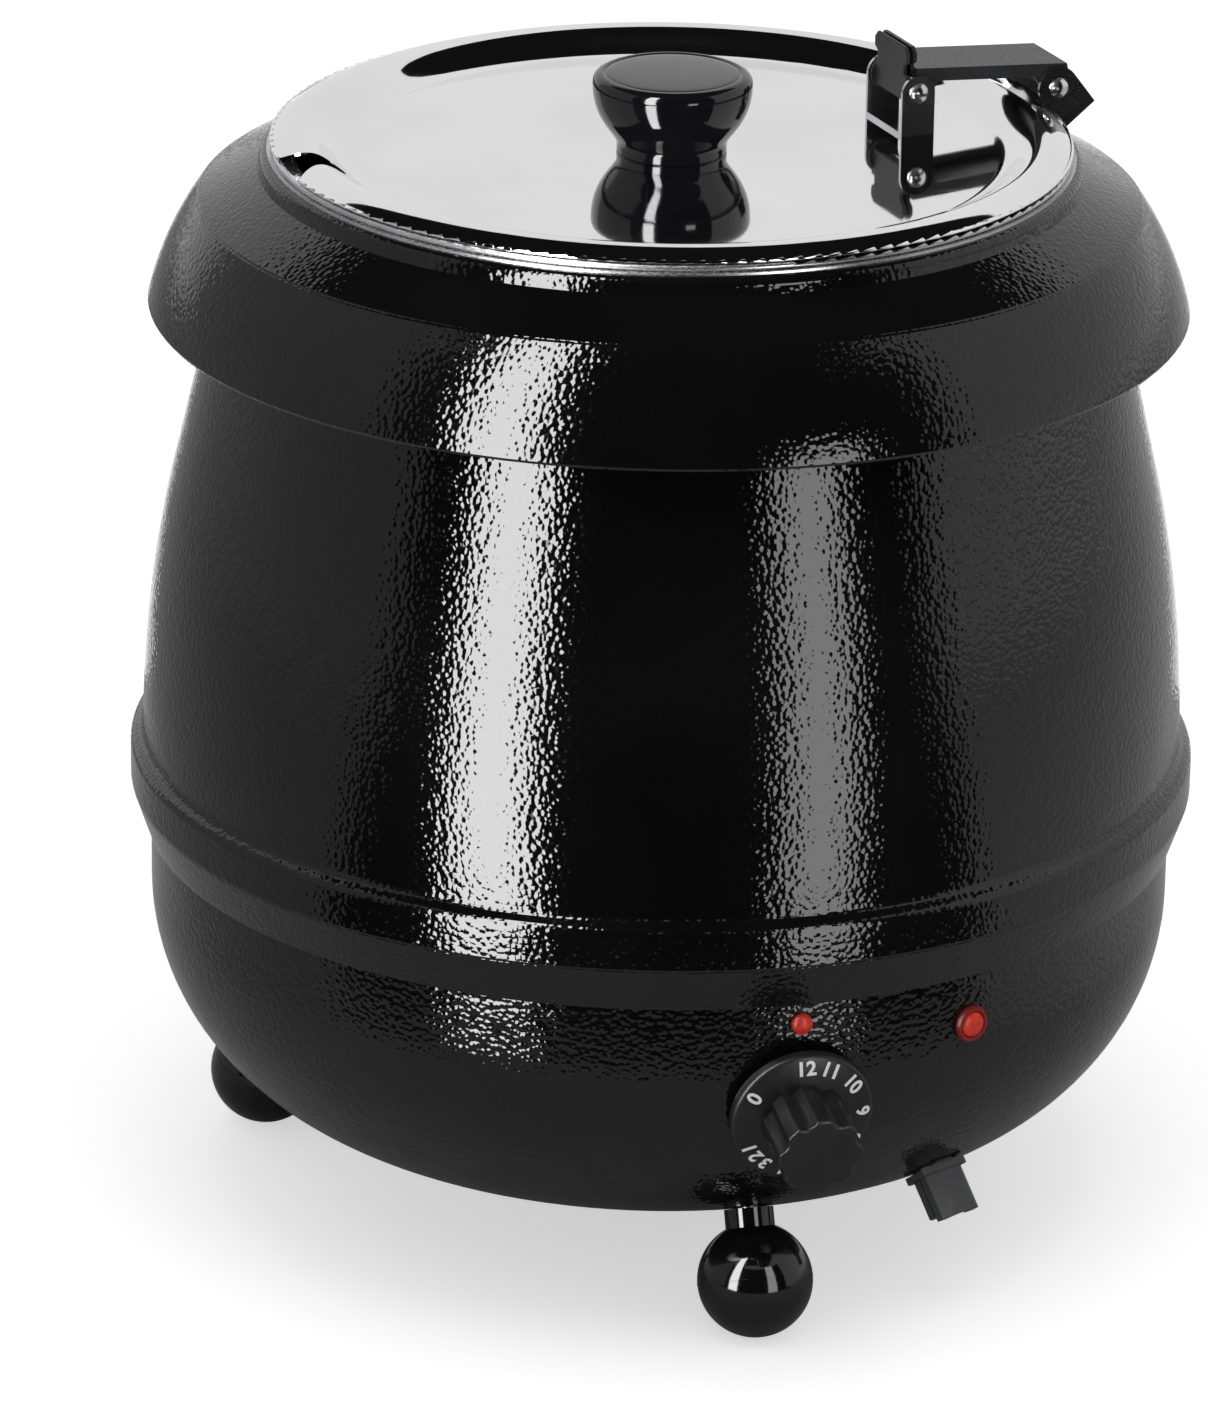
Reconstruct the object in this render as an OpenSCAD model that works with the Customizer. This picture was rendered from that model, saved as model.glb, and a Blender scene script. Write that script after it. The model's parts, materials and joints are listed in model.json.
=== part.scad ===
// Soup kettle with a lift-out pot, a hinged lid and a wet heating well.
// Z is up, the ground is z = 0, the kettle's axis is the Z axis and the dial faces -Y.

/* [Body] */
// Outer radius of the bowl's straight wall
bowl_r = 168.5; // [150:0.5:200]
// Radius of the bowl's drawn bottom corner
bowl_corner_r = 76; // [60:1:90]
// Height of the bowl's straight wall below the seam
bowl_wall_h = 21; // [18:1:40]
// Height of the bowl's rim that stands inside the barrel
bowl_tuck_h = 8; // [4:0.5:10]
// Thickness of the painted steel sheet
sheet_t = 1.2; // [0.8:0.1:1.5]
// Height of the taper from the seam up to the bead
taper_h = 15; // [11:0.5:20]
// How far the bead stands out from the barrel
bead_proud = 4.2; // [3.5:0.1:6]
// Height of the bead's flat band
bead_band_h = 11.5; // [6:0.5:16]
// Radius of the bead's two small bends
bead_bend_r = 3; // [2:0.1:3.4]
// How far the barrel stands out past the bowl
barrel_step = 2.5; // [1.9:0.1:5]
// Radius of the barrel's bulging side, seen from the side
barrel_bulge_r = 390; // [300:5:600]
// Height of the bulging part of the barrel
barrel_bulge_h = 88; // [70:1:100]
// Height of the straight cone above the bulge
barrel_cone_h = 82; // [70:1:90]

/* [Collar] */
// Height of the collar's skirt edge above the bead's band
skirt_edge_h = 151.5; // [142:0.5:165]
// How far the skirt's edge lies inside the barrel's radius
skirt_inset = 2.2; // [0:0.2:6]
// Height of the skirt from its edge to the bend ring
skirt_h = 35; // [28:1:38]
// How far the bend ring lies inside the skirt's edge
bend_inset = 16; // [13:0.2:19]
// How far the skirt bows outwards
skirt_bow = 1.9; // [0.5:0.1:4]
// Height from the bend ring to the top of the neck
neck_rise = 15.4; // [12:0.2:20]
// Radius of the neck's rolled top
neck_roll_r = 3; // [2:0.1:4]
// How far the neck's opening lies inside the barrel's radius
neck_inset = 43.8; // [42:0.2:48]
// Depth of the neck's inner wall
neck_wall_h = 20; // [18:0.5:24]

/* [Well and pot] */
// Depth of the water well below the neck
well_depth = 239; // [220:1:245]
// Corner radius of the well
well_corner_r = 14; // [8:1:24]
// Thickness of the stainless sheet
steel_t = 0.8; // [0.6:0.1:1.2]
// Reach of the well's lip past the crown of the neck
well_lip_w = 0.3; // [0:0.1:0.8]
// Gap between the well and the pot
pot_gap = 3.8; // [3:0.1:8]
// Depth of the soup pot
pot_depth = 210; // [180:1:214]
// Corner radius of the pot
pot_corner_r = 18; // [8:1:30]
// Radius of the pot's rolled rim wire
pot_rim_wire_r = 1.1; // [0.9:0.1:1.6]
// Reach of the pot's rim past the neck's opening
pot_rim_reach = 2.1; // [1.3:0.1:2.3]

/* [Lid] */
// Reach of the lid past the neck's opening
lid_reach = 2.3; // [1.8:0.1:3.3]
// Width of the lid's rim round its sunk flat middle
lid_rim_w = 24.5; // [21:0.5:29]
// Distance of the raised ring from the lid's edge
lid_crest_w = 9; // [7.5:0.5:13]
// Height of the raised ring above the edge
lid_crest_h = 3; // [2:0.1:5]
// Depth of the flat middle below the edge
lid_sink = 4.2; // [3:0.1:6]
// Radius of the lid's rolled edge wire
lid_edge_r = 0.7; // [0.6:0.05:1]
// Azimuth of the ladle notch, from the front towards +X
ladle_azimuth = -87; // [-110:1:-60]
// Half width of the ladle notch at the lid's edge
ladle_mouth_w = 13.5; // [11:0.5:20]
// Radius of the ladle notch's round inner end
ladle_end_r = 6.5; // [5:0.5:9]
// Depth of the ladle notch
ladle_depth = 20; // [16:0.5:22]
// Height of the lid knob
knob_h = 26; // [20:0.5:40]
// Radius of the knob's head
knob_head_r = 25.7; // [20:0.1:32]
// Radius of the knob's base
knob_base_r = 17.5; // [16:0.1:20]
// Radius of the knob's waist
knob_waist_r = 16.2; // [14:0.1:17]
// Radius of the knob's screw
knob_screw_r = 2.5; // [2:0.1:3]

/* [Hinge] */
// Azimuth of the hinge, from the front towards +X
hinge_azimuth = 98.5; // [90:0.5:120]
// Distance between the arm's two pivots
arm_len = 50.7; // [47:0.1:54]
// Height of the front pivot above the lid's flat middle
front_pivot_h = 14.3; // [13:0.1:16]
// Reach of the rear pivot past the neck's opening
rear_pivot_reach = 4.8; // [4.6:0.1:5.8]
// Height of the rear pivot above the neck
rear_pivot_h = 10.6; // [10:0.1:12]
// Width of the arm's channel
arm_w = 24.4; // [22:0.1:28]
// Thickness of the hinge plates
plate_t = 1.2; // [1:0.1:1.4]
// Height of the arm's top above each pivot
arm_rise = 7.9; // [7.6:0.1:10]
// Depth of the arm's side flanges between the pivots
arm_flange_h = 4.4; // [3:0.1:5]
// Radius of the arm's lobes round the pivots
arm_lobe_r = 5.4; // [4.8:0.1:5.4]
// Height of the stop plate above the arm's top
stop_tab_h = 7; // [4:0.1:12]
// Radius of the two pivot pins
pin_r = 2.5; // [2:0.1:3]
// Radius of the pins' domed heads
pin_head_r = 3.3; // [3.1:0.1:4]
// Height of the pins' domed heads
pin_head_h = 2; // [1:0.1:2.6]
// Width of the lid bracket's ears
ear_w = 11.6; // [11:0.1:13]
// Radius of the rim clip's round end
clip_r = 7; // [7:0.1:8]
// Length of the rim clip from its pivot
clip_len = 12.8; // [11:0.1:14]
// Slope of the rim clip below the horizontal
clip_slope = 52; // [50:1:55]
// Depth of the rim clip's cross wall
clip_wall_h = 6; // [4:0.5:6.5]
// Width of the clip's tongue
tongue_w = 18; // [14:0.5:20]
// Depth of the tongue's leg inside the pot
tongue_leg_h = 13; // [10:0.5:18]
// Half width of the lid's notch at the hinge
hinge_notch_w = 18.5; // [16.5:0.5:20]
// Depth of the lid's notch at the hinge
hinge_notch_depth = 9.5; // [8:0.5:10.5]
// Corner radius of the lid's notch at the hinge
hinge_notch_r = 4; // [2:0.5:6]

/* [Feet] */
// Radius of the ball feet
foot_r = 18.7; // [14:0.1:22]
// Length of the feet's necks
foot_neck_h = 4.4; // [3:0.1:10]
// Radius of the feet's necks
foot_neck_r = 8; // [6:0.1:10]
// Angle of the feet's axes below the horizontal
foot_drop = 64; // [58:0.5:72]
// Azimuth of the front foot, from the front towards +X
foot_turn = -1.5; // [-6:0.5:6]
// Angle between the front foot and each rear foot
foot_spread = 117.5; // [110:0.5:125]
// Radius of the feet's studs
foot_stud_r = 4; // [3:0.1:5]

/* [Controls] */
// Angle of the dial's axis below the horizontal
dial_drop = 11.8; // [9:0.2:20]
// Radius of the dial's flange
dial_r = 23.2; // [20:0.1:26]
// Radius of the dial's fluted grip
grip_r = 13.8; // [12:0.1:15]
// Length of the whole dial
dial_len = 28; // [24:0.5:32]
// Number of flutes round the grip
grip_flutes = 8; // [6:1:10]
// Radius of the thermostat's spindle
spindle_r = 3; // [2.5:0.1:3.5]
// Radius of the thermostat's threaded bush
bush_r = 4.9; // [4.6:0.1:6]
// Radius of the small power lamp
power_lamp_r = 3.4; // [3:0.1:5]
// Radius of the larger heating lamp
heat_lamp_r = 6; // [5:0.1:8]
// Azimuth of the heating lamp, from the front towards +X
heat_lamp_azimuth = 20.5; // [18:0.5:26]
// Height of the power lamp above the bowl's corner
power_lamp_h = 14; // [12:0.5:15]
// Height of the heating lamp above the bowl's corner
heat_lamp_h = 4; // [3:0.5:12]
// Azimuth of the cord gland, from the front towards +X
gland_azimuth = 25; // [22:0.5:40]
// Angle of the cord gland's axis below the horizontal
gland_drop = 52; // [49:0.5:58]
// Width of the cord gland
gland_w = 15.5; // [15:0.5:24]
// Length of the cord gland outside the bowl
gland_len = 17.5; // [14:0.5:26]
// Chamfer along the cord gland's corners
gland_chamfer = 3.4; // [2:0.2:4]
// Radius of the cord that the gland clamps
cord_r = 3.8; // [3:0.1:5]

/* [Heating] */
// Radius of the heating element's ring
element_ring_r = 78; // [60:1:95]
// Radius of the heating element's sheath
element_r = 4; // [3:0.1:5]
// Radius of the arc on which the thermostat's bulb lies
bulb_ring_r = 40; // [36:0.5:44]
// How far the heat shield's edge lies inside the well's radius
shield_inset = 8.9; // [3:0.1:16]
// Drop of the heat shield below the well
shield_drop = 22; // [18:1:26]
// Radius of the tie rods
tie_r = 2.5; // [2:0.1:3]
// Distance of the tie rods from the axis
tie_pitch_r = 56; // [40:1:62]

/* [Fits] */
// Running clearance round a turning pin
run_fit = 0.05; // [0.02:0.01:0.09]
// Gap between pieces that slide past each other
slip_gap = 0.3; // [0.2:0.05:0.4]
// Clearance round a fixed screw or stud
screw_fit = 0.25; // [0.1:0.05:0.5]

/* [Hidden] */
$fn = 64;

// Heights, worked up from the ground
bowl_z = foot_r + sin(foot_drop) * (bowl_corner_r + foot_neck_h + foot_r);
bowl_floor_z = bowl_z - bowl_corner_r;
bowl_centre_r = bowl_r - bowl_corner_r;
seam_z = bowl_z + bowl_wall_h;
bead_z = seam_z + taper_h;
barrel_r = bowl_r + barrel_step;
bead_r = barrel_r + bead_proud;
seam_r = bowl_r + slip_gap + sheet_t * 1.05;
barrel_z = bead_z + bead_band_h + bead_bend_r * sqrt(3)
    + (bead_proud - bead_bend_r) / sqrt(3);
bulge_top_a = asin(barrel_bulge_h / barrel_bulge_r);
cone_z = barrel_z + barrel_bulge_h;
cone_r = barrel_r - barrel_bulge_r * (1 - cos(bulge_top_a));
shell_top_z = cone_z + barrel_cone_h;
shell_top_r = cone_r - barrel_cone_h * tan(bulge_top_a);
skirt_z = bead_z + bead_band_h + skirt_edge_h;
bend_z = skirt_z + skirt_h;
neck_z = bend_z + neck_rise;
skirt_r = barrel_r - skirt_inset;
bend_r = skirt_r - bend_inset;
neck_bore_r = barrel_r - neck_inset;
neck_roll_u = neck_bore_r + neck_roll_r;

// The well hangs in the neck and the pot hangs in the well
well_r = neck_bore_r - slip_gap;
well_floor_z = neck_z - well_depth;
well_lip_z = neck_z + steel_t;
pot_r = well_r - steel_t - pot_gap;
pot_floor_z = well_lip_z - pot_depth;
pot_rim_r = neck_bore_r + pot_rim_reach;
pot_rim_z = well_lip_z + pot_rim_wire_r;
pot_top_z = pot_rim_z + pot_rim_wire_r;

// The lid rests on the pot's rim
lid_z = pot_top_z + slip_gap;
lid_flat_z = lid_z - lid_sink + steel_t;
lid_r = neck_bore_r + lid_reach;
lid_flat_r = lid_r - lid_rim_w;
lid_crest_r = lid_r - lid_crest_w;
lid_edge_u = lid_r - lid_edge_r;
knob_seat_z = lid_flat_z;
shaft_depth = knob_h * 0.5;

// Hinge
hinge_turn = hinge_azimuth - 90;
rear_pivot_u = neck_bore_r + rear_pivot_reach;
front_pivot_u = rear_pivot_u - arm_len;
front_pivot_z = lid_flat_z + front_pivot_h;
rear_pivot_z = neck_z + rear_pivot_h;
plate_in = arm_w / 2 + slip_gap;
plate_out = plate_in + plate_t;
arm_front_u = front_pivot_u - slip_gap;
arm_rear_u = rear_pivot_u + clip_r / 2;
arm_slope = (rear_pivot_z - front_pivot_z) / (rear_pivot_u - front_pivot_u);
tongue_z = pot_top_z + slip_gap;
tongue_leg_u = sqrt(pow(pot_r - steel_t, 2) - pow(tongue_w / 2, 2)) - slip_gap;
rivet_r = 1.5;
rivet_head_r = 2.4;
rivet_head_h = 0.8;
rivet_fit = 0.1;

// Inside the bowl
well_under_z = well_floor_z;
element_z = well_under_z - element_r;
shield_z = well_under_z - shield_drop;
floor_in_z = bowl_floor_z + sheet_t;
shield_r = well_r - shield_inset;
shield_lip_h = 8;
element_gap = 14;
element_leg_h = 30;
tie_head_h = 4;
tie_nut_r = 5;
tie_nut_h = 4;
nut_t = 5;
nut_r = 7.5;
stud_h = 12;
washer_r = 8.5;
washer_t = 1.6;
thermostat_front = 8;
thermostat_w = 34;
thermostat_t = 26;
screw_r = 2;
screw_half = 14;
screw_head_r = 3.6;
bulb_r = 3;
block_w = 30;
block_d = 18;
block_h = 16;
block_pitch = 10;
block_out = 70;
block_z = floor_in_z + 2;

// Lamps and gland
power_stem_r = power_lamp_r - 0.8;
heat_stem_r = heat_lamp_r - 1;
lamp_nut_h = 4.4;
lamp_nut_z = -6.3;
gland_bush_r = cord_r + 3.4;
gland_bush_h = 7;
gland_seat = 0.4;
gland_base_h = 2.6;
gland_split = 0.25;
gland_step = 1.8;

// ---- outlines -----------------------------------------------------------------------

// Points of an arc about c, from angle a0 to angle a1
function arc(c, r, a0, a1, n = 12) =
    [for (i = [0:n]) let (a = a0 + (a1 - a0) * i / n) c + r * [cos(a), sin(a)]];

function unit(v) = v / norm(v);
function right_of(v) = [v[1], -v[0]];

// Points of an arc from p to q that bows to the right by s
function bow(p, q, s, n = 10) =
    let (
        c = norm(q - p),
        r = (c * c / 4 + s * s) / (2 * abs(s)),
        out = right_of(unit(q - p)) * sign(s),
        h = asin(c / 2 / r),
        mid = (p + q) / 2 - out * (r - abs(s))
    )
    [for (i = [0:n]) let (a = h * (2 * i / n - 1))
        mid + r * (cos(a) * out + sin(a) * unit(q - p))];

// Points that round the corner b between a and c
function fillet(a, b, c, r, n = 6) =
    let (
        u = unit(a - b),
        v = unit(c - b),
        half = acos(u * v) / 2,
        p = b + u * r / tan(half),
        q = b + v * r / tan(half),
        side = sign(u[0] * v[1] - u[1] * v[0]),
        sag = r * (1 - sin(half))
    )
    bow(p, q, side * sag, n);

// A sheet of thickness t to the left of an outline
function mitre(p, i) =
    let (
        last = len(p) - 1,
        d0 = unit(p[max(i, 1)] - p[max(i, 1) - 1]),
        d1 = unit(p[min(i, last - 1) + 1] - p[min(i, last - 1)]),
        m = unit(right_of(d0) + right_of(d1))
    )
    m / (m * right_of(d0));
function skin(p, t) = concat(p, [for (i = [len(p) - 1:-1:0]) p[i] - t * mitre(p, i)]);

module turned(points) {
    rotate_extrude($fn = 128) polygon(points);
}

// ---- placing ------------------------------------------------------------------------

// Local Z is the outward normal on the bowl's round corner, local Y runs up the wall
module on_bowl(azimuth, drop) {
    rotate([0, 0, azimuth])
        translate([0, -bowl_centre_r, bowl_z])
            rotate([90 + drop, 0, 0])
                translate([0, 0, bowl_corner_r])
                    children();
}

// The same on the bowl's straight wall
module on_wall(azimuth, z) {
    rotate([0, 0, azimuth])
        translate([0, -bowl_r, z])
            rotate([90, 0, 0])
                children();
}

// X runs out along the hinge, Y across it
module at_hinge() {
    rotate([0, 0, hinge_turn]) children();
}

// A plate across Y from an outline in X and Z
module plate(y, t) {
    translate([0, y + t, 0])
        rotate([90, 0, 0])
            linear_extrude(t)
                children();
}

module both_sides() {
    children();
    mirror([0, 1, 0]) children();
}

module at_feet() {
    for (turn = [0, foot_spread, -foot_spread])
        on_bowl(foot_turn + turn, foot_drop) children();
}

module at_ties() {
    for (azimuth = [60, 180, 300])
        rotate([0, 0, azimuth])
            translate([0, -tie_pitch_r, 0])
                children();
}

// A quarter of a flattened ball on the plane z, from its rim to its crown
function dome(r, z, h, n = 6) =
    [for (i = [0:n]) let (a = 90 * i / n) [r * cos(a), z + h * sin(a)]];

// A pin along Y with a domed head at each end
module headed_pin(r, head_r, head_h, half) {
    head = dome(head_r, half + slip_gap / 10, head_h);
    foot = [for (p = head) [p[0], -p[1]]];
    rotate([90, 0, 0])
        rotate_extrude()
            polygon(concat([for (i = [len(foot) - 1:-1:0]) foot[i]],
                [[r, foot[0][1]], [r, head[0][1]]], head));
}

module ring(r_out, r_in, h) {
    difference() {
        cylinder(r = r_out, h = h);
        translate([0, 0, -1]) cylinder(r = r_in, h = h + 2);
    }
}

module hex_nut(r_out, r_in, h) {
    difference() {
        cylinder(r = r_out, h = h, $fn = 6);
        translate([0, 0, -1]) cylinder(r = r_in, h = h + 2);
    }
}

// ---- body ---------------------------------------------------------------------------

module collar() {
    top = [neck_roll_u, neck_z - neck_roll_r];
    skirt = bow([skirt_r, skirt_z + 1], [bend_r, bend_z], skirt_bow, 12);
    slope = [neck_roll_u + neck_roll_r + 0.6, top[1] - 2.4];
    path = concat(
        [[skirt_r - 2.4, skirt_z + 0.4], [skirt_r - 0.6, skirt_z]],
        [for (i = [0:len(skirt) - 2]) skirt[i]],
        fillet(skirt[len(skirt) - 2], [bend_r, bend_z], slope, 2.5, 4),
        [slope],
        arc(top, neck_roll_r, 0, 180, 16),
        [[neck_bore_r, neck_z - neck_wall_h]]);
    color("#1b1b1c") turned(skin(path, sheet_t));
}

module upper_shell() {
    b = bead_bend_r;
    bulge_c = [barrel_r - barrel_bulge_r, barrel_z];
    shoulder = [neck_bore_r + sheet_t + slip_gap, shell_top_z + 2];
    path = concat(
        [[seam_r, seam_z]],
        fillet([seam_r, seam_z], [bead_r, bead_z], [bead_r, bead_z + bead_band_h], b, 4),
        arc([bead_r - b, bead_z + bead_band_h], b, 0, 60, 5),
        arc([barrel_r + b, barrel_z], b, 240, 180, 5),
        [for (i = [1:14]) let (a = bulge_top_a * i / 14)
            bulge_c + barrel_bulge_r * [cos(a), sin(a)]],
        fillet([cone_r, cone_z], [shell_top_r, shell_top_z], shoulder, 4, 5),
        [shoulder]);
    color("#1b1b1c") turned(skin(path, sheet_t));
}

module lower_bowl() {
    path = concat(
        [[0, bowl_floor_z]],
        arc([bowl_centre_r, bowl_z], bowl_corner_r, -90, 0, 30),
        [[bowl_r, seam_z + bowl_tuck_h]]);
    color("#1b1b1c") difference() {
        turned(skin(path, sheet_t));
        on_bowl(0, dial_drop) {
            translate([0, 0, -6]) cylinder(r = bush_r + screw_fit, h = 12);
            for (x = [-1, 1])
                translate([screw_half * x, 0, -6]) cylinder(r = screw_r + screw_fit, h = 12);
        }
        on_wall(0, bowl_z + power_lamp_h)
            translate([0, 0, -4]) cylinder(r = power_stem_r + screw_fit, h = 8);
        on_wall(heat_lamp_azimuth, bowl_z + heat_lamp_h)
            translate([0, 0, -4]) cylinder(r = heat_stem_r + screw_fit, h = 8);
        on_bowl(gland_azimuth, gland_drop)
            translate([0, 0, -6]) cylinder(r = gland_bush_r + screw_fit, h = 12);
        at_feet() translate([0, 0, -6]) cylinder(r = foot_stud_r + screw_fit, h = 12);
        at_ties() translate([0, 0, floor_in_z - 6]) cylinder(r = tie_r + screw_fit, h = 12);
    }
}

module water_well() {
    path = concat(
        [[0, well_floor_z]],
        arc([well_r - well_corner_r, well_floor_z + well_corner_r], well_corner_r, -90, 0, 10),
        [[well_r, neck_z], [neck_roll_u + well_lip_w, neck_z]]);
    color("#c9ccd0") turned(skin(path, steel_t));
}

module inner_pot() {
    c = [pot_r - pot_corner_r, pot_floor_z + pot_corner_r];
    wire_u = pot_rim_r - pot_rim_wire_r;
    path = concat(
        [[0, pot_floor_z]],
        arc(c, pot_corner_r, -90, 0, 12),
        fillet([pot_r, c[1]], [pot_r, well_lip_z], [wire_u, well_lip_z], 2, 5),
        [[wire_u, well_lip_z]]);
    color("#c9ccd0") difference() {
        union() {
            turned(skin(path, steel_t));
            rotate_extrude($fn = 128) translate([wire_u, pot_rim_z]) circle(pot_rim_wire_r, $fn = 24);
        }
        at_hinge() clip_rivet_places()
            cylinder(r = rivet_r + rivet_fit, h = 12, center = true);
    }
}

// Outline of the lid's underside, from the middle to the edge
function lid_path() =
    let (
        flat = lid_flat_z - steel_t,
        crest = lid_z + lid_crest_h
    )
    concat(
        [[0, flat]],
        [for (i = [0:12]) let (k = (1 - cos(180 * i / 12)) / 2)
            [lid_flat_r + (lid_crest_r - lid_flat_r) * i / 12, flat + (crest - flat) * k]],
        [for (i = [1:8]) let (k = 1 - cos(90 * i / 8))
            [lid_crest_r + (lid_edge_u - lid_crest_r) * i / 8, crest - lid_crest_h * k]]);

module ladle_notch() {
    inner = lid_r - ladle_depth + ladle_end_r;
    flank = [for (i = [0:8]) let (t = i / 8)
        [inner + 2 + (lid_r - inner - 2) * t,
         ladle_end_r + (ladle_mouth_w - ladle_end_r) * pow(t, 2.2)]];
    outer = [[lid_r + 4, ladle_mouth_w + 4]];
    top = concat(arc([inner, 0], ladle_end_r, 180, 90, 8), flank, outer);
    low = [for (i = [len(top) - 1:-1:1]) [top[i][0], -top[i][1]]];
    rotate([0, 0, ladle_azimuth - 90])
        translate([0, 0, lid_flat_z - 10])
            linear_extrude(30)
                polygon(concat(top, low));
}

module hinge_notch() {
    r = hinge_notch_r;
    w = hinge_notch_w;
    u = lid_r - hinge_notch_depth;
    past = 2 * hinge_notch_depth;
    translate([0, 0, lid_flat_z - 10]) linear_extrude(30) {
        translate([u, r - w]) square([past, 2 * (w - r)]);
        translate([u + r, -w]) square([past, 2 * w]);
        for (y = [r - w, w - r])
            translate([u + r, y]) circle(r);
    }
}

module lid() {
    color("#e3e5e8") difference() {
        union() {
            turned(skin(lid_path(), steel_t));
            rotate_extrude($fn = 128)
                translate([lid_edge_u, lid_z + lid_edge_r]) circle(lid_edge_r, $fn = 16);
        }
        ladle_notch();
        at_hinge() hinge_notch();
        translate([0, 0, lid_flat_z - 5]) cylinder(r = knob_screw_r + screw_fit, h = 10);
    }
}

module lid_knob() {
    crease = [knob_head_r - 4.2, knob_h - 0.3];
    path = concat(
        [[0, 0], [knob_base_r - 0.5, 0], [knob_base_r, 0.6], [knob_base_r, 2.2]],
        bow([knob_waist_r, 3.2], [knob_head_r - 0.5, knob_h - 6.4], -3.4, 14),
        bow([knob_head_r, knob_h - 5], [knob_head_r - 3.4, knob_h], 1.4, 8),
        [crease, crease - [0.5, 0.35]],
        bow([crease[0] - 0.8, knob_h - 0.5], [0, knob_h + 0.5], 0.6, 8));
    color("#0e0e0f") translate([0, 0, knob_seat_z]) difference() {
        turned(path);
        translate([0, 0, -1]) cylinder(r = knob_screw_r + run_fit, h = shaft_depth + 1);
    }
}

module knob_screw() {
    head_r = knob_screw_r * 2;
    color("#b9bcc0") translate([0, 0, knob_seat_z - steel_t]) {
        cylinder(r = knob_screw_r, h = shaft_depth - 0.5);
        rotate_extrude()
            polygon(concat([[0, 0], [head_r, 0]],
                [for (p = dome(head_r, 0.5, 2.4)) [p[0], -p[1]]]));
    }
}

// ---- hinge --------------------------------------------------------------------------

module lid_bracket() {
    z0 = lid_flat_z;
    u0 = front_pivot_u - ear_w / 2;
    color("#b9bcc0") at_hinge() difference() {
        union() {
            translate([u0, -plate_out, z0]) cube([ear_w, 2 * plate_out, plate_t]);
            both_sides() plate(plate_in, plate_t) {
                translate([u0, z0]) square([ear_w, front_pivot_h]);
                translate([front_pivot_u, front_pivot_z]) circle(ear_w / 2);
            }
        }
        pivot_bore(front_pivot_u, front_pivot_z);
    }
}

module pivot_bore(u, z) {
    translate([u, 0, z])
        rotate([90, 0, 0])
            cylinder(r = pin_r + run_fit, h = 4 * plate_out, center = true);
}

module front_pin() {
    color("#c9ccd0") at_hinge()
        translate([front_pivot_u, 0, front_pivot_z])
            headed_pin(pin_r, pin_head_r, pin_head_h, plate_out);
}

module rear_pin() {
    color("#c9ccd0") at_hinge()
        translate([rear_pivot_u, 0, rear_pivot_z])
            headed_pin(pin_r, pin_head_r, pin_head_h, plate_out);
}

// Height of the arm's top edge at distance u
function arm_top(u) = front_pivot_z + arm_rise + arm_slope * (u - front_pivot_u);

module arm_flange() {
    f = front_pivot_u;
    r = rear_pivot_u;
    lobe = arm_lobe_r;
    polygon([
        [arm_front_u, arm_top(arm_front_u)],
        [arm_rear_u, arm_top(arm_rear_u)],
        [r + lobe, rear_pivot_z],
        [r - lobe, rear_pivot_z],
        [r - lobe - 3, arm_top(r - lobe - 3) - arm_flange_h],
        [f + lobe + 3, arm_top(f + lobe + 3) - arm_flange_h],
        [f + lobe, front_pivot_z],
        [f - lobe, front_pivot_z],
        [arm_front_u, front_pivot_z + 1]]);
    translate([f, front_pivot_z]) circle(lobe);
    translate([r, rear_pivot_z]) circle(lobe);
}

module arm_top_plate() {
    polygon([
        [arm_front_u, arm_top(arm_front_u)],
        [arm_front_u, arm_top(arm_front_u) - plate_t],
        [arm_rear_u, arm_top(arm_rear_u) - plate_t],
        [arm_rear_u, arm_top(arm_rear_u)]]);
}

// The stop plate stands above the arm's front and clears the pin below it
module stop_plate() {
    w = arm_w / 2;
    nick = 2.2;
    foot = front_pivot_z + pin_r + 2 * slip_gap;
    top = arm_top(arm_front_u);
    tip = top + stop_tab_h;
    relief = top - plate_t - 0.8;
    side = [[w, foot], [w, relief], [w - nick, relief], [w - nick, top + 1], [w, top + 2.4],
        [w, tip - 2], [w - 2, tip]];
    translate([arm_front_u - plate_t, 0, 0])
        rotate([90, 0, 90])
            linear_extrude(plate_t)
                polygon(concat(side,
                    [for (i = [len(side) - 1:-1:0]) [-side[i][0], side[i][1]]]));
}

module hinge_arm() {
    color("#242526") at_hinge() difference() {
        union() {
            both_sides() plate(arm_w / 2 - plate_t, plate_t) arm_flange();
            plate(-arm_w / 2, arm_w) arm_top_plate();
            stop_plate();
        }
        pivot_bore(front_pivot_u, front_pivot_z);
        pivot_bore(rear_pivot_u, rear_pivot_z);
    }
}

module clip_side() {
    circle(clip_r);
    rotate(-clip_slope) translate([0, -clip_r]) square([clip_len, 2 * clip_r]);
}

module clip_web() {
    rotate(-clip_slope)
        translate([1, -clip_r])
            square([clip_wall_h, plate_t]);
}

// The tongue crosses the pot's rim and hooks down inside the pot
module clip_tongue() {
    foot = [-clip_r * sin(clip_slope), -clip_r * cos(clip_slope)]
        + [cos(clip_slope), -sin(clip_slope)];
    rise = tongue_z - rear_pivot_z;
    knee = foot[0] - 3;
    leg = tongue_leg_u - rear_pivot_u;
    polygon([
        foot, foot + [0.9, 1.3], [knee + 0.6, rise + plate_t],
        [leg - plate_t, rise + plate_t], [leg - plate_t, rise - tongue_leg_h],
        [leg, rise - tongue_leg_h], [leg, rise], [knee, rise]]);
}

module clip_rivet_places() {
    for (y = [-1, 1])
        translate([tongue_leg_u, y * tongue_w / 4, tongue_z - tongue_leg_h * 0.7])
            rotate([0, 90, 0])
                children();
}

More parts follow.
